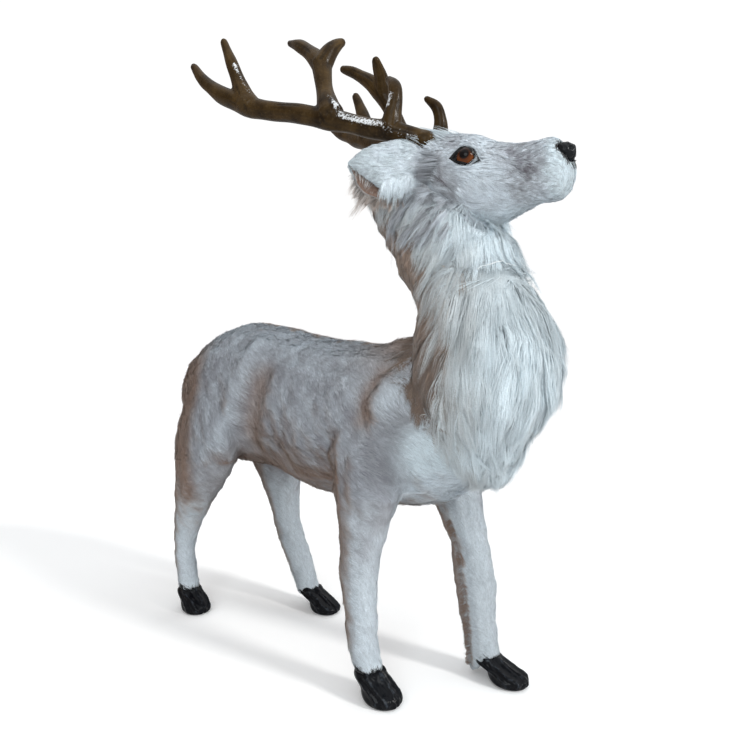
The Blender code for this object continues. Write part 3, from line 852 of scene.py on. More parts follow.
def build_body():
    """The torso and the legs: one smooth skin, cut into hides, with foam under it and fur over it."""
    legs = list(LEGS)
    nodes = ["torso_fur", "torso_core", "neck_core"]
    nodes += ["leg_fur_" + leg for leg in legs] + ["leg_core_" + leg for leg in legs]
    skin = Skin(*remeshed(*cad_arrays(*nodes), 2.5, 9))
    sculpted(
        skin,
        [
            (SHOULDER, 20, 6.5), ((-64, 88, 215), 36, 5.0), ((-66, 240, 235), 32, 2.0),
            ((-16, 94, 166), 34, 9.0), ((-22, 136, 176), 24, 6.0), ((-52, 284, 225), 42, -6.0),
            ((-4, 0, 314), 17, 6.0), ((-38, -14, 196), 16, 3.0), ((-60, 62, 285), 22, -1.5),
            (HAUNCH_STRIP, 14, 5.0), (THIGH_VALLEY, 15, -6.5), (SHOULDER_CREASE, 14, -4.6),
            ([(-66, 16, 212), (-56, 38, 194), (-44, 52, 178)], 9, -4.2)
        ]
    )
    skin.pushed(-2.3)
    places = deer(skin.points)
    skin.pushed(0.35 * waves(places, 9, 11) + 0.5 * waves(places, 26, 12))
    for y_from, y_to, sink in ((-66, -46, 15.0), (164, 190, 6.0)):  # the left legs' fur hangs lower behind
        places = deer(skin.points)
        rear = smoothstep(y_from, y_to, places[:, 1]) * (
            np.abs(places[:, 1] - y_to) < 30
        ) * (places[:, 0] > 0)
        skin.points[:, 2] -= sink * MM * rear * smoothstep(46, 26, places[:, 2])
    skin.refresh()

    foam = kept_under(Skin(*remeshed(*cad_arrays("torso_core"), 4.0, 2)).pushed(-9.0), skin, 4.0)
    ride(make("foam_torso", foam.points, foam.triangles), foam_material(), "foam", "figure", "torso_core")
    for leg in legs:
        foam = Skin(*remeshed(*cad_arrays("leg_core_" + leg), 2.5, 2))
        foam = kept_under(foam.pushed(-8.0 * smoothstep(140, 200, deer(foam.points)[:, 2])), skin, 3.0)
        ride(
            make("foam_" + leg, foam.points, foam.triangles), foam_material(), "foam", "figure",
            "leg_core_" + leg
        )

    middles = deer(skin.points[skin.triangles].mean(axis=1))
    front, left = middles[:, 1] < BELLY_MIDDLE, middles[:, 0] > 0
    on_belly = (np.abs(middles[:, 0]) < BELLY_HALF) & (middles[:, 2] > BELLY_BOTTOM)
    on_leg = (middles[:, 2] < LEG_TOP) & ~on_belly
    regions = {"torso": ~on_leg}
    for leg in legs:
        regions[leg] = on_leg & (front == leg.startswith("front")) & (left == leg.endswith("left"))

    hide = hide_material("fur_under_layer", 0.85)
    short = fur_material("short_fur", 0.74, 0.65, 0.2, 0.25)
    common = {**SHORT_FUR, "material": short}
    # The fourth number, how white each leg's lower fur is, is set leg by leg as painted light and shade: lowest
    # on the far legs.
    tints = {
        "front_right": leg_tint(185, 100, 0.92, 0.84, 29.5),
        "front_left": leg_tint(190, 150, 0.95, 0.70, 22, -55),
        "rear_right": leg_tint(165, 95, 0.92, 1.02, 28.5), "rear_left": leg_tint(185, 125, 0.9, 0.76, 22, 185)
    }
    for number, (region, chosen) in enumerate(regions.items()):
        triangles = skin.triangles[chosen]
        tint_of = body_tint if region == "torso" else tints[region]
        cad = "torso_fur" if region == "torso" else "leg_fur_" + region
        sheet("hide_" + region, skin, triangles, tint_of, hide, "fur", cad)
        look = {**common, "comb": torso_comb, "tint": body_tint}
        if region != "torso":
            look = {**common, "comb": leg_comb, "tint": tint_of, "length": plain(6.5), "rise": 1.4}
            look.update(lock_shade=0.035, shade=0.035, tilt=0.1, lock_turn=0.06, swirl=0.16)
            if region == "front_left":
                look.update(length=plain(5.0), rise=1.0)
        coat("fur_" + region, skin, triangles, STRANDS[region], look, "fur", 100 + number)
        if region == "front_left":
            look = {
                **look, "free": True, "density": lambda places: NOTHING + near(places, LEG_SEAM, 1.1),
                "comb": lambda places, normals: normals + (-0.2, 0.5, -0.6), "length": plain(5.0),
                "lock_turn": 0.5, "stray": 0.4
            }
            coat("fur_leg_seam", skin, triangles, 2600, look, "fur", 120)
    return skin


# ---------------------------------------------------------------- the head


MOUTH = [(0, -157, 445), (0, -156.5, 440.5), (-3, -156, 438.5), (-5, -155.5, 440.5)]
# The greys of the face: along the muzzle, beside the mouth, before the ear, over the eye and before the cheek.
FACE_GREYS = [
    (GREY, 0.9, [(-16, -108, 462), (-20, -124, 443)], 11),
    (DARK, 0.62, [(-20, -126, 440), (-15, -112, 419)], 8),
    (DARK, 0.8, [(-33, -45, 460), (-31, -56, 433)], 10), (GREY, 0.4, (-24, -62, 474), 13),
    (DARK, 0.5, [(-19, -108, 442), (-17, -112, 424)], 6)
]


def head_tint(places, normals):
    """Grey face, white round the eye, on the muzzle and on the throat, black round the nose and the lips."""
    y, z = places.T[1:]
    spots = near_side(places)
    tint = even(blend(GREY, PALE, 0.66), places)
    cheek = near(spots, (-28, -88, 432), 22)
    round_eye = near(spots, (-30, -76, 458), 16)
    tint = blend(tint, PALE, np.clip(0.5 * cheek + 0.85 * round_eye, 0, 0.9))
    tint = dabbed(tint, spots, FACE_GREYS)
    mottle = 0.3 * waves(places, 9, 41) + 0.24 * waves(places, 4, 42)
    tint = blend(tint, PALE, np.clip(mottle, -0.6, 0.4))
    muzzle = smoothstep(-134, -143, y + 2.0 * waves(places, 5, 43))
    tint = blend(tint, COOL_WHITE, 0.92 * muzzle)
    throat = smoothstep(421, 408, z) * smoothstep(-125, -105, y)
    tint = blend(tint, COOL_WHITE, 0.6 * throat)
    from_nose = np.linalg.norm((places - NOSE_CENTRE) / NOSE_BARE, axis=1)
    ragged = from_nose + 0.13 * waves(places, 2.2, 44)
    tint = blend(tint, BLACK, smoothstep(1.32, 1.2, ragged))
    lips = distance_to_path(places, MOUTH) + 0.35 * waves(places, 2.0, 45)
    return blend(tint, LIP_BLACK, smoothstep(1.3, 0.8, lips))


def head_comb(places, normals):
    """From the brow down to the throat and forwards to the muzzle."""
    y, z = places.T[1:]
    down = -0.45 - 0.35 * smoothstep(-110, -70, y) * smoothstep(455, 420, z)
    top = smoothstep(0.5, 0.95, normals[:, 2])
    tip = smoothstep(-146, -153, y)
    return stacked(0.0, -(1 - tip), down * (1 - top) - 0.4 * tip)


def head_density(places):
    """No fur where the eye and its lids, the nose or the antlers are."""
    spots = near_side(places)
    bare = eye_share(spots) < 1.08
    for ahead, fall, weight in ((2.4, 0.5, 1.02), (4.4, 0.9, 0.97), (3.0, 2.0, 0.97), (5.0, 3.2, 0.9)):
        bare |= eye_share(spots + (0, -ahead, -fall)) < weight
    bare |= np.linalg.norm((spots - NOSE_CENTRE) / NOSE_BARE, axis=1) < 1.04
    bare |= np.linalg.norm(spots - sided(PEG_BASE, -1), axis=1) < 5.5
    return np.where(bare, NOTHING, 1.0)


def eye_axes(side):
    """The eye's centre, the way it looks, the way along its lids and the way up them."""
    looks = unit(sided(EYE_OUT, side))
    along = unit(np.cross((0, 0, 1), looks)) * side
    up = unit(np.cross(looks, along)) * side
    return sided(EYE_CENTRE, side), looks, along, up


LID_HALF_LENGTH = 11.0
LID_TOP = 7.3
LID_BOTTOM = 6.9
LID_RINGS = [
    (0.0, -4.0, 0), (0.42, -3.0, 0), (0.5, 0.3, 0), (0.62, 0.4, 0), (0.75, 0.4, 0), (0.86, 0.5, 0),
    (0.93, 0.9, 0), (1.0, 1.8, 0.3), (1.05, 1.6, 0.7), (1.08, -1.2, 0.8)
]
LID_TILT = 0.26  # how far the front corner hangs, for each mm along
LID_SAG = 3.2  # how far both corners hang


def lid_height(share, upper):
    """The opening's half height at a share of its half length, from corner to corner."""
    curve = (1 - np.abs(share) ** 2.1) ** 0.95
    return (LID_TOP if upper else LID_BOTTOM) * curve


def eye_share(places):
    """Below 1 inside the lids of the right eye."""
    centre, looks, along, up = eye_axes(-1)
    offset = places - centre
    a = offset @ along / LID_HALF_LENGTH
    b = offset @ up - LID_TILT * a * LID_HALF_LENGTH + LID_SAG * np.minimum(a * a, 1.0)
    depth = offset @ looks
    inside = np.clip(np.abs(a), 0, 0.999)
    height = np.where(b > 0, lid_height(inside, True), lid_height(inside, False)) + 0.6
    share = np.maximum(np.abs(a), np.abs(b) / height)
    return np.where(depth > 0, share, 9.0)


def build_eye(word, side, skin, black, glass):
    """A glass ball, and the black lids round it, which lie on the head's skin."""
    centre, looks, along, up = eye_axes(side)
    points, triangles = primitive(bmesh.ops.create_uvsphere, u_segments=64, v_segments=40, radius=EYE_R)
    turn = np.arccos(np.clip(unit(points) @ looks, -1, 1))
    round_axis = np.arctan2(points @ up, points @ along)
    rays = 0.5 + 0.5 * np.sin(round_axis * 23 + 2.0 * np.sin(round_axis * 7)) * np.sin(round_axis * 41 + 1.0)
    lit = points @ up / EYE_R
    ball = make(
        "eyeball_" + word, at(points + centre), triangles, floats={"turn": turn, "rays": rays, "lit": lit}
    )
    ride(ball, glass, "eye", "figure", "eye_" + word)

    # The lids: a bed of black that reaches both corners, and a bead round the opening.
    count = 120
    angles = np.linspace(0, 2 * math.pi, count, endpoint=False)
    share = np.cos(angles)
    upper = np.sin(angles) >= 0
    height = np.where(upper, lid_height(share, True), -lid_height(share, False))
    a = share * LID_HALF_LENGTH
    outline = a[:, None] * along + (height - LID_TILT * a * side - LID_SAG * share**2)[:, None] * up
    thickness = np.where(upper, 1.5, 0.7) + 1.3 * np.abs(share) ** 8
    rings = []
    for scale, lift, swell in LID_RINGS:
        ring = outline * scale + unit(outline) * (thickness * swell)[:, None]
        reach = np.linalg.norm(ring, axis=1)
        on_face = []
        for point in at(centre + ring + looks * 25):
            hit = skin.tree.ray_cast(Vector(point), Vector(-looks))
            on_face.append(25 - (hit[3] / MM if hit[3] is not None else 25))
        on_face = np.clip(on_face, 0, 14.0)
        on_ball = np.sqrt(np.maximum(EYE_R**2 - reach**2, 0.0))
        height = np.where(
            reach < EYE_R - 0.4, on_ball - 0.5, np.maximum(on_face, on_ball)
        ) if scale > 0.45 else 0.0
        front = smoothstep(-0.3, -0.7, share) * (0.8 < scale < 1.06)
        rings.append(centre + ring + looks * (height + lift + 0.7 * front)[:, None])
    points = np.concatenate(rings)
    triangles = []
    for first in range(len(rings) - 1):
        for i in range(count):
            j = (i + 1) % count
            p, q = first * count, (first + 1) * count
            triangles += [(p + i, p + j, q + j), (p + i, q + j, q + i)]
    triangles = np.array(triangles)
    if side < 0:
        triangles = triangles[:, ::-1]
    rim = make("lids_" + word, at(points), triangles)
    ride(rim, black, "rim", "figure", "eye_rim_" + word)


def build_nose(black):
    """A leathery pad with two nostrils and a groove between them."""
    points, triangles = primitive(bmesh.ops.create_icosphere, subdivisions=5, radius=1.0)
    radii = np.array(NOSE_RADII)
    ways = unit(points)
    places = points * radii
    swell = 0.22 * waves(places, 4.0, 51) + 0.06 * waves(places, 1.5, 52)
    for x in (-4.6, 4.6):
        swell -= 2.6 * near(ways * radii, (x, -6.6, 1.8), 1.9)
    swell -= 0.9 * np.exp(-((places[:, 0] / 0.8) ** 2)) * (places[:, 1] < -3)
    nose = make("nose_pad", at(places + ways * swell[:, None] + NOSE_CENTRE), triangles)
    ride(nose, black, "nose", "figure", "nose")


def build_head():
    """The head's hide and its fur. Gives back its skin, which the lids, the ruff and the ears sit on."""
    parts = [cad_arrays("head_fur", "head_core", "neck_core")]
    for side in (1, -1):  # closes the skull where the antlers stand
        ball, faces = primitive(bmesh.ops.create_icosphere, subdivisions=3, radius=11.0 * MM)
        parts.append((ball + at(sided(PEG_BASE, side) - unit(sided(PEG_AXIS, side)) * 10.0), faces))
    skin = Skin(*remeshed(*joined(parts), 1.8, 6))
    sculpted(
        skin,
        [
            ((-27, -88, 436), 15, 1.6), ((-22, -78, 474), 9, 1.8), ((-18, -116, 452), 12, -1.0),
            ((-14, -146, 440), 8, 1.0), ((-6, -143, 424), 11, 3.2), ((-5, -139, 462), 8, 1.8)
        ]
    )
    skin.pushed(-1.9)
    middles = deer(skin.points[skin.triangles].mean(axis=1))
    on_head = (middles[:, 2] > 403) | (middles[:, 1] < -80)
    on_head &= (middles[:, 2] > 380) & (eye_share(near_side(middles)) > 0.93)
    triangles = skin.triangles[on_head]
    sheet("hide_head", skin, triangles, head_tint, hide_material("head_under_layer", 0.75), "fur", "head_fur")
    look = {
        **SHORT_FUR, "density": head_density, "swirl": 0.26, "swirl_size": 14,
        "length": lambda places: 5.5 + 8.5 * smoothstep(
            -128, -92, places[:, 1]
        ) * smoothstep(462, 446, places[:, 2]), "nominal": 8.0, "rise": 1.4, "steps": 3, "per_lock": 14,
        "pull": 0.45, "lock_turn": 0.12, "lock_shade": 0.12, "shade": 0.07, "tilt": 0.09, "width": 0.34,
        "material": fur_material("face_fur", 0.7, 0.65, 0.2, 0.25), "comb": head_comb, "tint": head_tint
    }
    coat("fur_head", skin, triangles, 100000, look, "fur", 300)
    return skin


# ---------------------------------------------------------------- the ruffs

# Where the white ends at the sides of the neck: heights, and the y at each.
NAPE = (
    (195, 221, 235, 246, 256, 268, 282, 291, 304, 323, 342, 373, 395, 420, 437, 460),
    (-74, -70, -60, -52, -64, -76, -85, -87, -86, -81, -76, -62, -53, -32, -10, 20)
)
# Where the head's grey fur carries on over the neck.
CHEEK_FUR = [(-38, -36, 442), (-33, -52, 434)]
POLL = (0, -24, 489)
JAW_LINE = [(-30, -22, 440), (-30, -40, 425), (-25, -60, 411), (-16, -80, 405), (0, -92, 405)]
SEAM = [(-52, -74, 360), (-38, -91, 367), (-26, -99, 372), (-12, -106, 373), (0, -108, 373)]


def ruff_tint(places, normals):
    """White in front and brown behind, partly as painted shade, with the head's grey streaks on top."""
    z = places[:, 2]
    tint = even(COOL_WHITE * 0.96, places)
    tint = blend(tint, COOL_WHITE * 0.8, mottled(places, 13, 61, 0.45, 0.5))
    tint = tint * (1 - 0.15 * smoothstep(318, 345, z) * smoothstep(384, 368, z))[:, None]
    tint = blend(tint, NAPE_EDGE, 0.5 * behind_share(places, -42, -6))
    # The nape's brown: partly its own fur, partly painted shade behind the ruff; darker low down as painted
    # shade under it.
    brown = NAPE_BROWN_AND_SHADE * np.exp(0.22 * waves(places, 5, 63))[:, None]
    brown = brown * (1 - 0.3 * smoothstep(335, 310, z))[:, None]
    tint = blend(tint, brown, 0.95 * behind_share(places))
    jaw = near(near_side(places), CHEEK_FUR, 9.0, 4)
    streak = blend(DARK * 0.9, blend(GREY, PALE, 0.5), mottled(places, 7, 64, 0.45, 0.55, 2))
    return blend(tint, streak, 0.7 * jaw)


def behind_share(places, start=-11, end=5):
    """1 on the brown nape, 0 in front of its edge."""
    edge = places[:, 1] - np.interp(places[:, 2], *NAPE) + 5.5 * waves(places, 11, 62)
    return smoothstep(start, end, edge)


# How far the ruff's front is drawn in: heights, and the mm at each.
TAPER = ((185, 200, 215, 246, 262, 279, 309, 347, 366), (10, 14, 16, 19, 14, 9, 5.5, 1.5, 0))


def tapered(points):
    """The ruff's front, drawn in towards its foot: most on the left, where it stands clear of the breast."""
    x, y, z = deer(points).T
    inward = np.interp(z, *TAPER)
    out = stacked(x, y + 70, 0.0)
    reach = smoothstep(8, 46, np.linalg.norm(out, axis=1)) * smoothstep(-30, 20, x)
    reach *= smoothstep(-30, -70, y)
    return points - unit(out) * (inward * reach * MM)[:, None]


def ruff_comb(places, normals):
    """Down: back over the shoulder at the sides, and forwards again where the ruff narrows."""
    y, z = places.T[1:]
    side = smoothstep(-100, -62, y)
    back = 0.62 * smoothstep(238, 275, z) - 0.22 * smoothstep(330, 400, z)
    return stacked(0.0, 0.06 + side * (back - 0.45 * smoothstep(258, 226, z)), -1.0)


def lower_length(places):
    z = places[:, 2]
    behind = behind_share(places) * (0.32 + 0.3 * smoothstep(290, 315, z))
    return (26.0 + 20.0 * smoothstep(225, 300, z)) * (1 - behind)


def lower_rise(places):
    return (0.5 + 0.5 * smoothstep(362, 335, places[:, 2])) * (1 - 0.5 * behind_share(places))


def below_seam(places):
    return np.where(places[:, 2] < np.where(places[:, 1] < -82, 358, 372), 1.0, NOTHING)


def above_seam(places):
    return np.where((places[:, 2] > 376) | (places[:, 1] > -78), 1.0, NOTHING)


def upper_length(places):
    """The upper ruff stops at the seam in front and falls past it at the sides."""
    front = smoothstep(-70, -88, places[:, 1])
    long = 36.0 * (1 - front) + front * np.clip(places[:, 2] - 353, 12, 36)
    return long * (1 - 0.62 * behind_share(places))


def upper_rise(places):
    return (0.8 + 0.9 * smoothstep(2, 24, places[:, 0])) * (1 - 0.5 * behind_share(places))


def build_ruffs(body, head):
    """Two tiers of long fur that fall over the neck and the shoulders, with a seam between them."""
    covers, faces = cad_arrays("neck_ruff_upper", "chest_ruff_lower", "neck_core")
    covers = (tapered(covers), faces)
    drape = Skin(*remeshed(*joined([covers, (body.points, body.triangles)]), 2.8, 15))
    places = deer(drape.points)
    raised = places[:, 2] > 190
    folds = 1.5 * waves(places, 24, 66) + 0.7 * waves(places, 11, 67)
    away = distance_to_path(near_side(places), SEAM)
    step = -0.7 * np.exp(-((away / 7.0) ** 2)) + 0.9 * np.exp(-((np.abs(away - 13) / 8) ** 2))
    step *= smoothstep(0, 24, places[:, 0])
    drape.pushed((folds * raised * (places[:, 1] < 20) + step) - 0.5)
    material = fur_material("long_white_fur", 0.92, 0.6, 0.2, 0.3)
    hide = hide_material("ruff_under_layer", 0.8)
    look = {**LONG_FUR, "material": material, "comb": ruff_comb, "tint": ruff_tint}
    lower = {"length": lower_length, "rise_at": lower_rise, "density": below_seam}
    upper = {"length": upper_length, "rise_at": upper_rise, "density": above_seam}
    for name, cad, count, own, seed in (
        ("ruff_lower", "chest_ruff_lower", 90000, lower, 400),
        ("ruff_upper", "neck_ruff_upper", 56000, upper, 401)
    ):
        ruff, faces = cad_arrays(cad, "neck_core")
        base = Skin(*remeshed(tapered(ruff), faces, 2.5, 8)).pushed(-3.0)
        middles = deer(base.points[base.triangles].mean(axis=1))
        low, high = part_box(cad)
        chosen = (middles[:, 2] > low.z / MM + 1) & (middles[:, 2] < high.z / MM + 1)
        triangles = base.triangles[chosen]
        sheet("hide_" + name, base, triangles, ruff_tint, hide, "long_fur", cad)
        coat("fur_" + name, base, triangles, count, {**look, **own}, "long_fur", seed, drape)

    # A pale thread along the seam: the seam's thread, and a painted highlight along it.
    line = spline([(-36, -94, 363), (-26, -100, 368), (-14, -107, 370), (-2, -110, 369.5)], 8)
    middle, ways = drape.nearest(at(line))
    seam_line = make("ruff_seam", *tube(middle + ways * 3.0 * MM, np.full(len(line), 0.32) * MM, 8))
    ride(seam_line, thread_and_highlight_material(), "long_fur", "figure")

    # The head's own fur falls over the top of the ruff, along the jaw and behind the cheeks.
    over = Skin(*remeshed(*joined([(head.points, head.triangles), (drape.points, drape.triangles)]), 2.4, 3))
    fringe = {
        **look,
        "density": lambda places: NOTHING + near(near_side(places), JAW_LINE, 9.0) * (places[:, 2] < 445),
        "comb": lambda places, normals: even((0.0, 0.55, -0.8), places),
        "length": lambda places: 18.0 + 8.0 * smoothstep(-75, -40, places[:, 1]), "nominal": 20.0,
        "rise": 3.4, "steps": 4, "per_lock": 24, "tint": fringe_tint
    }
    coat("fur_jaw_fringe", head, head.triangles, 17000, fringe, "long_fur", 402, over)
    poll = {
        **fringe, "density": lambda places: NOTHING + near(places, POLL, 17.0), "tint": lambda places,
        normals: blend(head_tint(places, normals), COOL_WHITE, 0.8), "comb": lambda places,
        normals: even((0.0, 0.62, 0.5), places) + 0.012 * places * (1, 0, 0), "length": plain(19),
        "free": True, "droop": 0.12
    }
    coat("fur_poll", head, head.triangles, 9000, poll, "long_fur", 403, head)


def fringe_tint(places, normals):
    streak = blend(DARK * 0.8, blend(GREY, PALE, 0.45), mottled(places, 5, 68, 0.45, 0.55, 2))
    tint = blend(head_tint(places, normals), streak, 0.85)
    return blend(tint, COOL_WHITE * 1.04, smoothstep(-66, -80, places[:, 1]))


# ---------------------------------------------------------------- antlers

# The left antler's branches: each point is x, y, z, radius.
ANTLER = [
    [
        (22, -32, 483, 6.4), (26, -24, 486, 7.8), (33, -8, 491, 9.0), (44, 18, 499, 8.2), (55, 47, 509, 9.4),
        (66, 78, 519, 8.6), (77, 108, 526, 8.8), (86, 132, 536, 9.8), (94, 158, 550, 7.8),
        (98, 180, 568, 5.8), (100, 193, 584, 3.4)
    ], [(34, -7, 493, 9.5), (34, -9, 504, 8.0), (33, -11, 517, 6.4), (31, -8, 530, 5.4), (27, 2, 540, 3.4)],
    [(55, 46, 513, 12.6), (54, 50, 521, 10.4), (51, 56, 534, 8.4), (47, 63, 552, 8.2), (43, 70, 568, 9.8)],
    [(43, 71, 568, 9.2), (41, 86, 583, 7.4), (39, 105, 597, 5.8), (37, 122, 606, 3.6)],
    [(43, 68, 568, 9.2), (36, 66, 580, 7.6), (29, 64, 588, 5.8), (23, 62, 593, 4.0)],
    [(84, 126, 533, 12.2), (86, 131, 544, 9.2), (87, 137, 557, 7.4), (89, 147, 580, 5.4), (90, 156, 600, 3.2)]
]
# The left antler's beam and last tine stand higher behind than the right one's.
LEFT_BEAM = [
    *ANTLER[0][:5], (65, 78, 522, 8.6), (75, 110, 532, 9.2), (84, 138, 545, 9.6), (91, 163, 557, 8.4),
    (96, 186, 568, 6.2), (99, 202, 578, 3.6)
]
LEFT_TINE = [
    (81, 126, 544, 11.5), (83, 130, 556, 9.8), (85, 136, 570, 8.2), (87, 145, 588, 6.2), (88, 152, 601, 4.0)
]
# Where white was dry-brushed on, as lines beside the right antler.
BRUSHED = [
    [
        (-59, 50, 556), (-60, 43, 542), (-60, 40, 528), (-57, 30, 509), (-51, 16, 502), (-43, -1, 496),
        (-35, -14, 489), (-29, -26, 483)
    ], [(-88, 118, 545), (-90, 128, 560), (-91, 137, 572)], [(-41, -8, 512), (-40, -10, 520)]
]


def spline(points, steps):
    """A smooth line through the points, with so many steps between each two."""
    points = np.asarray(points, float)
    padded = np.concatenate([2 * points[:1] - points[1:2], points, 2 * points[-1:] - points[-2:-1]])
    line = []
    for i in range(len(points) - 1):
        a, b, c, d = padded[i : i + 4]
        for t in np.linspace(0, 1, steps, endpoint=False):
            line.append(b + 0.5 * t * (c - a + t * (2 * a - 5 * b + 4 * c - d + t * (3 * (b - c) + d - a))))
    line.append(points[-1])
    return np.array(line)


def frames_along(centres):
    """The direction of a line at each of its points, and two ways across it that don't twist."""
    ways = unit(np.gradient(centres, axis=0))
    side = unit(np.cross(ways[0], (0.31, 0.17, 0.93)))
    sides = []
    for way in ways:
        side = unit(side - way * (side @ way))
        sides.append(side)
    sides = np.array(sides)
    return ways, sides, np.cross(ways, sides)


def tube(centres, radii, count=20):
    """A closed tube with rounded ends."""
    ways, sides, ups = frames_along(centres)
    centres = np.concatenate(
        [centres[:1] - ways[:1] * radii[0] * 0.5, centres, centres[-1:] + ways[-1:] * radii[-1] * 0.6]
    )
    radii = np.concatenate([[radii[0] * 0.6], radii, [radii[-1] * 0.55]])
    sides, ups = sides[[0, *range(len(sides)), -1]], ups[[0, *range(len(ups)), -1]]
    angles = np.linspace(0, 2 * math.pi, count, endpoint=False)
    rings = centres[:, None] + radii[:, None, None] * (
        np.cos(angles)[None, :, None] * sides[:, None] + np.sin(angles)[None, :, None] * ups[:, None]
    )
    return lofted(rings)


def lofted(rings):
    """Joins rings of points and closes both ends."""
    rows, count = rings.shape[:2]
    index = np.arange(rows * count).reshape(rows, count)
    a, b = index[:-1], np.roll(index[:-1], -1, axis=1)
    c, d = np.roll(index[1:], -1, axis=1), index[1:]
    triangles = [np.stack([a, b, c], -1).reshape(-1, 3), np.stack([a, c, d], -1).reshape(-1, 3)]
    middle_low, middle_high = rows * count, rows * count + 1
    first, last = index[0], index[-1]
    triangles.append(np.stack([np.roll(first, -1), first, np.full(count, middle_low)], -1))
    triangles.append(np.stack([last, np.roll(last, -1), np.full(count, middle_high)], -1))
    points = np.concatenate([rings.reshape(-1, 3), rings[:1].mean(axis=1), rings[-1:].mean(axis=1)])
    return points, np.concatenate(triangles)


def build_antler(word, side, resin):
    """Branches, peg and burr as one skin, grooved along each branch and brushed with white."""
    base, axis = sided(PEG_BASE, side), unit(sided(PEG_AXIS, side))
    parts, grain, along, radius = [], [], [], []
    branches = ANTLER if side < 0 else [LEFT_BEAM, *ANTLER[1:5], LEFT_TINE]
    for number, branch in enumerate(branches):
        line = spline(branch, 9)
        centres, radii = line[:, :3] * (side, 1, 1), line[:, 3]
        parts.append(tube(at(centres), radii * MM))
        _, sides, ups = frames_along(centres)
        length = np.concatenate([[0], np.cumsum(np.linalg.norm(np.diff(centres, axis=0), axis=1))])
        grain.append(np.concatenate([centres, sides, ups], axis=1))
        along.append(length + 400 * number)
        radius.append(radii)
    peg = np.array([base - axis * 19.0, base - axis * 4.0])
    parts.append(tube(at(peg), np.array((3.6, 4.0)) * MM))
    burr = np.array([base - axis * 3.4, base - axis * 1.0, base + axis * 3.5, base + axis * 7.0])
    parts.append(tube(at(burr), np.array((7.8, 9.0, 9.0, 6.8)) * MM))
    points, triangles = remeshed(*joined(parts), 0.9, 11)
    normals = normals_of(points, triangles)
    places = deer(points)
    grain, along, radius = np.concatenate(grain), np.concatenate(along), np.concatenate(radius)
    nearest = np.empty(len(places), int)
    for start in range(0, len(places), 8000):
        part = places[start : start + 8000]
        away = np.linalg.norm(part[:, None] - grain[None, :, :3], axis=2) - radius
        nearest[start : start + 8000] = away.argmin(axis=1)
    offset = places - grain[nearest, :3]
    unrolled = np.stack(
        [(offset * grain[nearest, 3:6]).sum(1), (offset * grain[nearest, 6:9]).sum(1), along[nearest] / 11.0],
        axis=1
    )
    groove = smoothstep(0.45, 1.6, waves(unrolled, 3.4, 81, 2))
    veins = smoothstep(0.6, 1.5, waves(unrolled, 1.5, 82, 2))
    spots = near_side(places)
    pit = near(spots, (-62, 42, 512), 2.6)
    free = smoothstep(-3.5, -1.0, (places - base) @ axis)
    move = 0.32 * waves(places, 15, 83, 1) - 0.26 * groove - 0.05 * veins - 1.4 * pit
    points = points + normals * (move * free * MM)[:, None]
    brush = np.zeros(len(places))
    for path, reach in zip(BRUSHED, (4.9, 3.4, 4.0)):
        brush = np.maximum(brush, near(spots, path, reach))
    facing = normals * (-side, 1, 1)
    brush *= smoothstep(-0.25, 0.35, facing @ unit(np.array((-0.55, -0.5, 0.62))))
    floats = {"groove": np.clip(groove + 0.5 * veins + pit, 0, 1), "brush": brush}
    made = make("antler_shape_" + word, points, triangles, floats=floats)
    ride(made, resin, "antler", f"antler_{word}_body", "antler_" + word)


# ---------------------------------------------------------------- hooves, ears and tail


def build_hoof(leg, resin):
    """A rounded cloven cap: ridges fan down over its front from the top, and a narrow cleft parts the toes."""
    spec = LEGS[leg]
    x, toe, top, y_leg = spec["x"], spec["toe"], spec["top"], spec["leg_y"]
    heel = toe + 35.0
    # Height at the front, height at the back, front y, back y, half width.
    rings = [
        (0.0, 0.0, toe + 5.0, heel - 4.0, 9.5), (0.9, 0.8, toe + 1.2, heel - 1.0, 13.2),
        (4.0, 3.4, toe - 0.6, heel + 1.6, 14.9), (8.5, 7.2, toe + 0.1, heel + 3.2, 15.2),
        (top * 0.66, top * 0.55, toe * 0.62 + (y_leg - 14) * 0.38, heel + 3.6, 14.8),
        (top * 0.92, top * 0.86, toe * 0.16 + (y_leg - 14) * 0.84, y_leg + 14.6, 13.6),
        (top + 2.6, top + 2.2, y_leg - 12.6, y_leg + 13.0, 12.4),
        (top + 4.5, top + 4.5, y_leg - 7.0, y_leg + 8.0, 7.0)
    ]
    line = spline(rings, 5)
    angles = np.linspace(0, 2 * math.pi, 120, endpoint=False)
    share = (1 - np.cos(angles)) / 2
    front_z, back_z, front_y, back_y, half = line.T[:, :, None]
    places = np.stack(
        [
            x + half * np.sin(angles), front_y + (back_y - front_y) * share,
            np.maximum(front_z + (back_z - front_z) * share, 0.0)
        ], axis=-1
    )
    points, triangles = lofted(at(places))
    normals = normals_of(points, triangles)
    if (normals[: len(angles)] * (0, 0, 1)).sum() > 0:
        triangles, normals = triangles[:, ::-1], -normals
    spots = deer(points)
    turn = np.concatenate([np.tile(angles, len(line)), [0, 0]])
    turn = np.abs((turn + math.pi) % (2 * math.pi) - math.pi)
    rise = np.clip(spots[:, 2] / top, 0, 1.2)
    fan = turn * (9.0 - 3.2 * rise) + 0.5 * waves(spots, 9, 91)
    ridge = 0.5 + 0.5 * np.cos(fan * 1.15)
    front = smoothstep(2.3, 1.2, turn) * smoothstep(0.02, 0.2, rise)
    move = (1.5 * (ridge - 0.5) + 0.2 * waves(spots, 4.0, 92)) * front
    move -= 3.4 * np.exp(-(((spots[:, 0] - x) / 1.0) ** 2)) * (turn < 1.2) * smoothstep(1.1, 0.55, rise)
    moved = points + normals * (move * MM)[:, None]
    moved[:, 2] = np.maximum(moved[:, 2], 0)
    # ridge: the front ridges' tops, where the hoof's material paints its highlight.
    made = make("hoof_shape_" + leg, moved, triangles, floats={"ridge": smoothstep(0.8, 1.0, ridge) * front})
    ride(made, resin, "hoof", "figure", "hoof_" + leg)


EAR_BASE = (30.0, -44.0, 454.0)
EAR_TIP = (74.0, 3.0, 463.0)
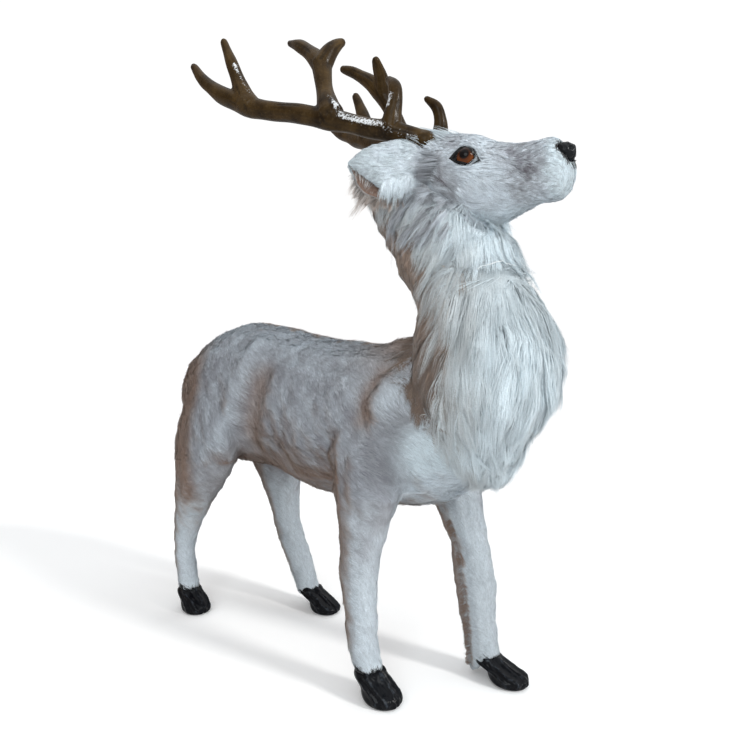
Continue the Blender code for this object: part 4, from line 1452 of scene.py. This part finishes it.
# The folded ear: share of its length, top of the fold, the flap's lower edge, the back's lower edge, and depth.
EAR_OUTLINE = [
    (-0.14, 4.0, -4.0, -6.0, 5.0), (0.00, 9.0, -9.0, -12.0, 6.5), (0.12, 13.5, -12.5, -17.0, 8.0),
    (0.27, 17.6, -16.5, -24.0, 9.5), (0.40, 19.2, -20.0, -28.0, 10.0), (0.55, 17.2, -23.4, -30.0, 9.5),
    (0.66, 14.2, -20.0, -29.5, 8.5), (0.77, 10.2, -15.8, -27.0, 7.0), (0.87, 5.2, -11.6, -21.0, 5.0),
    (0.94, 0.6, -8.8, -14.0, 3.4), (1.00, -5.0, -7.2, -8.4, 1.6)
]


def ear_axes(side):
    base, tip = sided(EAR_BASE, side), sided(EAR_TIP, side)
    along = unit(tip - base)
    out = np.array((0.726 * side, -0.687, 0.037))
    out = unit(out - along * (out @ along))
    up = np.cross(along, out)
    return base, tip, along, up * np.sign(up[2]), out


def build_ear(word, side, hide, bare, soft):
    """A folded ear: a thin shell, furred outside, bare inside, with tufts and wisps at its lower edge."""
    base, tip, along, up, out = ear_axes(side)
    length = np.linalg.norm(tip - base)
    outline = spline(EAR_OUTLINE, 4)
    columns = 30
    rows = []
    for share, top, flap, back, depth in outline:
        middle = top - 0.16 * (top - flap)
        profile = [
            (back, -0.30 * depth), (back * 0.55 + top * 0.45, -0.72 * depth), (middle, -0.55 * depth),
            (top, -0.05 * depth), (middle, 0.50 * depth), (flap * 0.5 + top * 0.5, 0.86 * depth),
            (flap * 0.85 + top * 0.15, 0.84 * depth), (flap, 0.66 * depth)
        ]
        line = spline(profile, 8)
        reach = np.concatenate([[0], np.cumsum(np.linalg.norm(np.diff(line, axis=0), axis=1))])
        steps = np.linspace(0, reach[-1], columns)
        high, deep = np.interp(steps, reach, line[:, 0]), np.interp(steps, reach, line[:, 1])
        sink = 26.0 * max(0.0, 0.16 - share)
        rows.append(base + along * length * share + high[:, None] * up + (deep - sink)[:, None] * out)
    outer = np.array(rows)
    flat, faces = grid_mesh(outer)
    normals = normals_of(flat, faces)
    if (normals.reshape(outer.shape)[len(outline) // 2, -6] @ out) < 0:
        normals = -normals
    wave = 0.5 * waves(flat, 12, 95)
    flat = flat + normals * wave[:, None]
    inner = (flat - normals * 1.5).reshape(outer.shape)
    outer = flat.reshape(outer.shape)
    ring = np.concatenate([outer, inner[:, ::-1]], axis=1)
    points, triangles = lofted(at(ring))
    triangles = triangles[: -2 * ring.shape[1]]  # the ends are pinched shut or inside the head
    column = triangles % ring.shape[1]
    lining = ((column >= columns) & (column <= 2 * columns - 1)).all(axis=1)
    on_flap = (len(outline) // 2) * ring.shape[1] + columns - 6
    if normals_of(points, triangles)[on_flap] @ out < 0:
        triangles = triangles[:, ::-1]
    skin = Skin(points, triangles)

    def tint(places, normals=None):
        share = (places - base) @ along / length
        colour = even(COOL_WHITE * 0.8, places)
        colour = blend(colour, PALE * 0.95, mottled(places, 9, 96, 0.35, 0.35))
        behind = smoothstep(2.0, -4.0, (places - base) @ out)
        low_edge = smoothstep(-8, -26, (places - base) @ up)
        colour = blend(colour, BROWN * 1.15, 0.75 * behind * low_edge)
        root = smoothstep(0.30, 0.04, share + 0.05 * waves(places, 7, 97))
        return blend(colour, blend(GREY, PALE, 0.35), 0.85 * root)

    sheet("ear_hide_" + word, skin, triangles[~lining], tint, hide, "fur", "ear_" + word)
    sheet("ear_inside_" + word, skin, triangles[lining], None, bare, "lining", "ear_lining_" + word)

    look = {
        **SHORT_FUR, "density": lambda places: np.where((places - base) @ along / length > 0.0, 1.0, NOTHING),
        "swirl": 0.25, "swirl_size": 12, "length": plain(7.5), "nominal": 7.5, "rise": 1.3, "steps": 3,
        "per_lock": 10, "lock_shade": 0.05, "material": soft, "comb": lambda places,
        normals: even(along - 0.18 * up, places), "tint": tint
    }
    coat("fur_ear_" + word, skin, triangles[~lining], 15000, look, "fur", 500 + side)

    def low_down(high, low, inner, outer, far, close):
        """On the ear's lower part, on one side of it, and up to a share of its length."""

        def density(places):
            offset = places - base
            share = smoothstep(high, low, offset @ up) * smoothstep(inner, outer, offset @ out)
            return NOTHING + share * smoothstep(far, close, offset @ along / length)

        return density

    tuft = {
        **look, "free": True, "density": low_down(-4, -12, 0.0, 3.0, 0.56, 0.42), "comb": lambda places,
        normals: even(0.25 * along - up + 0.1 * out, places), "length": plain(14), "steps": 4, "droop": 0.1,
        "lock_turn": 0.16, "lock_length": 0.2
    }
    coat("fur_ear_tuft_" + word, skin, triangles[~lining], 3600, tuft, "fur", 520 + side)

    wisps = {
        **look, "density": low_down(-7, -16, 5.0, 0.0, 0.95, 0.8), "comb": lambda places,
        normals: even(0.5 * along - up + 0.35 * out, places), "free": True, "droop": 0.08,
        "length": plain(12), "nominal": 15.0, "rise": 3.0, "steps": 4,
        "profile": lambda share: 0.4 + 0.8 * share, "lock_turn": 0.3, "lock_length": 0.25, "width": 0.36,
        "tint": lambda places, normals: blend(tint(places), WISP_BROWN, 0.6)
    }
    coat("fur_ear_wisps_" + word, skin, triangles[~lining], 5500, wisps, "fur", 510 + side)


def build_temple(side, word, head):
    """Long grey hair of the head that lies over the ear's root."""
    base, _, along, up, out = ear_axes(side)
    look = {
        **SHORT_FUR, "free": True,
        "density": lambda places: NOTHING + near(places - base - along * 2 + out * 3, (0, 0, 0), 11.0, 4),
        "swirl": 0.2, "swirl_size": 10, "length": plain(15), "steps": 4, "droop": 0.05, "per_lock": 14,
        "lock_turn": 0.14, "lock_length": 0.2, "width": 0.34,
        "material": fur_material("temple_fur", 0.8, 0.65, 0.2, 0.25), "comb": lambda places,
        normals: even(along, places) * 0.8 + normals * 0.55 - 0.25 * up, "tint": lambda places,
        normals: blend(head_tint(places, normals), blend(GREY, PALE, 0.25), 0.7)
    }
    coat("fur_temple_" + word, head, head.triangles, 5200, look, "fur", 530 + side)


def grid_mesh(grid):
    """A sheet over rows and columns of points."""
    rows, columns = grid.shape[:2]
    index = np.arange(rows * columns).reshape(rows, columns)
    a, b, c, d = index[:-1, :-1], index[1:, :-1], index[1:, 1:], index[:-1, 1:]
    triangles = np.concatenate(
        [np.stack([a, b, c], -1).reshape(-1, 3), np.stack([a, c, d], -1).reshape(-1, 3)]
    )
    return grid.reshape(-1, 3), triangles


def tail_tint(places, normals):
    tint = even(blend(GREY, PALE, 0.35), places)
    tint = blend(tint, COOL_WHITE, smoothstep(255, 236, places[:, 2]))
    # Painted shade: brown where the surface faces back.
    return blend(tint, BROWN, 0.35 * smoothstep(0.3, 0.9, normals[:, 1]))


def build_tail(soft):
    skin = Skin(*remeshed(*cad_arrays("tail"), 1.6, 6)).pushed(-2.0)
    sheet("hide_tail", skin, skin.triangles, tail_tint, hide_material("tail_under_layer", 0.7), "fur", "tail")
    look = {
        **SHORT_FUR, "length": plain(14), "nominal": 14.0, "rise": 3.0, "steps": 3, "per_lock": 14,
        "pull": 0.5, "material": soft, "comb": lambda places, normals: even((0.0, 0.25, -1.0), places),
        "tint": tail_tint
    }
    coat("fur_tail", skin, skin.triangles, 6000, look, "fur", 600)


# ---------------------------------------------------------------- stage


FLOOR_RADIUS = 14.0
WHITE = 1.05  # how bright the room is where it is seen straight
# The room: how much light it gives, where its bright side is, and the colours of its dark and bright sides.
ROOM = 0.72
BRIGHT_SIDE = (0.30, -0.72, 0.62)
ROOM_DARK = (0.36, 0.25, 0.19)
ROOM_BRIGHT = (1.04, 1.10, 1.14)
# The lamps' strengths.
KEY = 1.75
FILL = 12.0
ABOVE = 0.5
WARM = 0.6


def build_stage():
    """A white floor in a pale room. Both look whiter seen straight than the light that they give."""
    made, tree, shader = new_material("floor", 0.9, 0.0)
    seen = node(tree, "ShaderNodeLightPath").outputs["Is Camera Ray"]
    paper = noise(tree, 4.0, 2.0)
    dim = mixed(tree, paper, (0.71, 0.71, 0.71), (0.73, 0.73, 0.73))
    bright = mixed(tree, paper, (1.07, 1.07, 1.07), (1.10, 1.10, 1.10))
    diffuse = node(tree, "ShaderNodeBsdfDiffuse", {"Color": mixed(tree, seen, dim, bright)})
    tree.links.new(diffuse.outputs[0], tree.nodes["Material Output"].inputs["Surface"])
    tree.nodes.remove(shader)
    points, triangles = primitive(bmesh.ops.create_circle, cap_ends=True, segments=96, radius=FLOOR_RADIUS)
    points[:, 2] = -0.0002  # just below the hooves
    floor = make("floor", points, triangles)
    floor.data.materials.append(made)

    world = bpy.data.worlds.new("studio")
    bpy.context.scene.world = world
    world.use_nodes = True
    tree = world.node_tree
    background = tree.nodes["Background"]
    way = node(tree, "ShaderNodeTexCoord").outputs["Generated"]
    facing = node(
        tree, "ShaderNodeVectorMath", {0: way, 1: BRIGHT_SIDE}, operation="DOT_PRODUCT"
    ).outputs["Value"]
    share = ranged(tree, facing, -0.9, 0.9)
    tree.links.new(mixed(tree, share, ROOM_DARK, ROOM_BRIGHT), background.inputs["Color"])
    background.inputs["Strength"].default_value = ROOM
    white = node(tree, "ShaderNodeBackground", {"Color": (1, 1, 1, 1), "Strength": WHITE})
    straight = node(tree, "ShaderNodeLightPath").outputs["Is Camera Ray"]
    either = node(tree, "ShaderNodeMixShader", {0: straight, 1: background.outputs[0], 2: white.outputs[0]})
    tree.links.new(either.outputs[0], tree.nodes["World Output"].inputs["Surface"])

    # The key is in front of the deer and a little to its left, so shadows fall back behind it.
    key = bpy.data.lights.new("key", "SUN")
    key.energy = KEY
    key.angle = math.radians(10.0)
    key.color = (1.0, 0.99, 0.97)
    linked("key", key).rotation_euler = facing_way((-0.15, 0.88, -0.44))
    above = bpy.data.lights.new("above", "SUN")
    above.energy = ABOVE
    above.angle = math.radians(80.0)
    linked("above", above)
    add_light("camera_side_fill", (-1.5, -0.9, 1.1), (0, 0, 0.3), 1.2, FILL, (0.93, 0.98, 1.0))
    add_light("warm_rear", (-0.9, 1.5, 0.25), (0, 0, 0.25), 1.0, WARM, (1.0, 0.62, 0.42))


def facing_way(way):
    """The turn that makes a lamp or a camera look this way."""
    return Vector(way).to_track_quat("-Z", "Y").to_euler()


def add_light(name, place, target, size, power, colour):
    data = bpy.data.lights.new(name, "AREA")
    data.shape = "DISK"
    data.size = size
    data.energy = power
    data.color = colour
    light = linked(name, data)
    light.location = place
    light.rotation_euler = facing_way(Vector(target) - Vector(place))


CAMERA = (-0.442, -0.356, 0.304)  # in metres, in the deer's own frame
HEADING, PITCH = 48.0, -2.3  # in degrees: its turn from the deer's back towards its left, and up
SENSOR = 36.0
WIDTH, FOCUS = 750.0, 617.0  # of the view, in one unit


def build_camera():
    data = bpy.data.cameras.new("camera")
    data.sensor_width = SENSOR
    data.lens = SENSOR * FOCUS / WIDTH
    data.clip_start = 0.01
    camera = linked("camera", data)
    camera.location = (CAMERA[0], CAMERA[1] + SHIFT * MM, CAMERA[2])
    heading, pitch = math.radians(HEADING), math.radians(PITCH)
    way = (math.sin(heading) * math.cos(pitch), math.cos(heading) * math.cos(pitch), math.sin(pitch))
    camera.rotation_euler = facing_way(way)
    bpy.context.scene.camera = camera


def dress_hidden_nodes():
    """Cores, wires and sockets keep their CAD shapes."""
    looks = {"core": foam_material(), "rod": steel_material(), "socket": plastic_material()}
    for name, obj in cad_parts.items():
        for kind, material in looks.items():
            if kind in name.split("_"):
                obj.data.materials.clear()
                obj.data.materials.append(material)


bpy.context.scene.view_settings.view_transform = "Standard"
build_camera()
build_stage()
dress_hidden_nodes()
body = build_body()
head = build_head()
black = rim_material()
glass = eye_material()
for word, side in (("left", 1), ("right", -1)):
    build_eye(word, side, head, black, glass)
build_nose(nose_material())
build_ruffs(body, head)
resin = antler_material()
face_hide = hide_material("ear_under_layer", 0.75)
soft = fur_material("soft_fur", 0.7, 0.6, 0.25, 0.25)
for word, side in (("left", 1), ("right", -1)):
    build_antler(word, side, resin)
    build_ear(word, side, face_hide, lining_material(), soft)
    build_temple(side, word, head)
horn = hoof_material()
for leg in LEGS:
    build_hoof(leg, horn)
build_tail(soft)
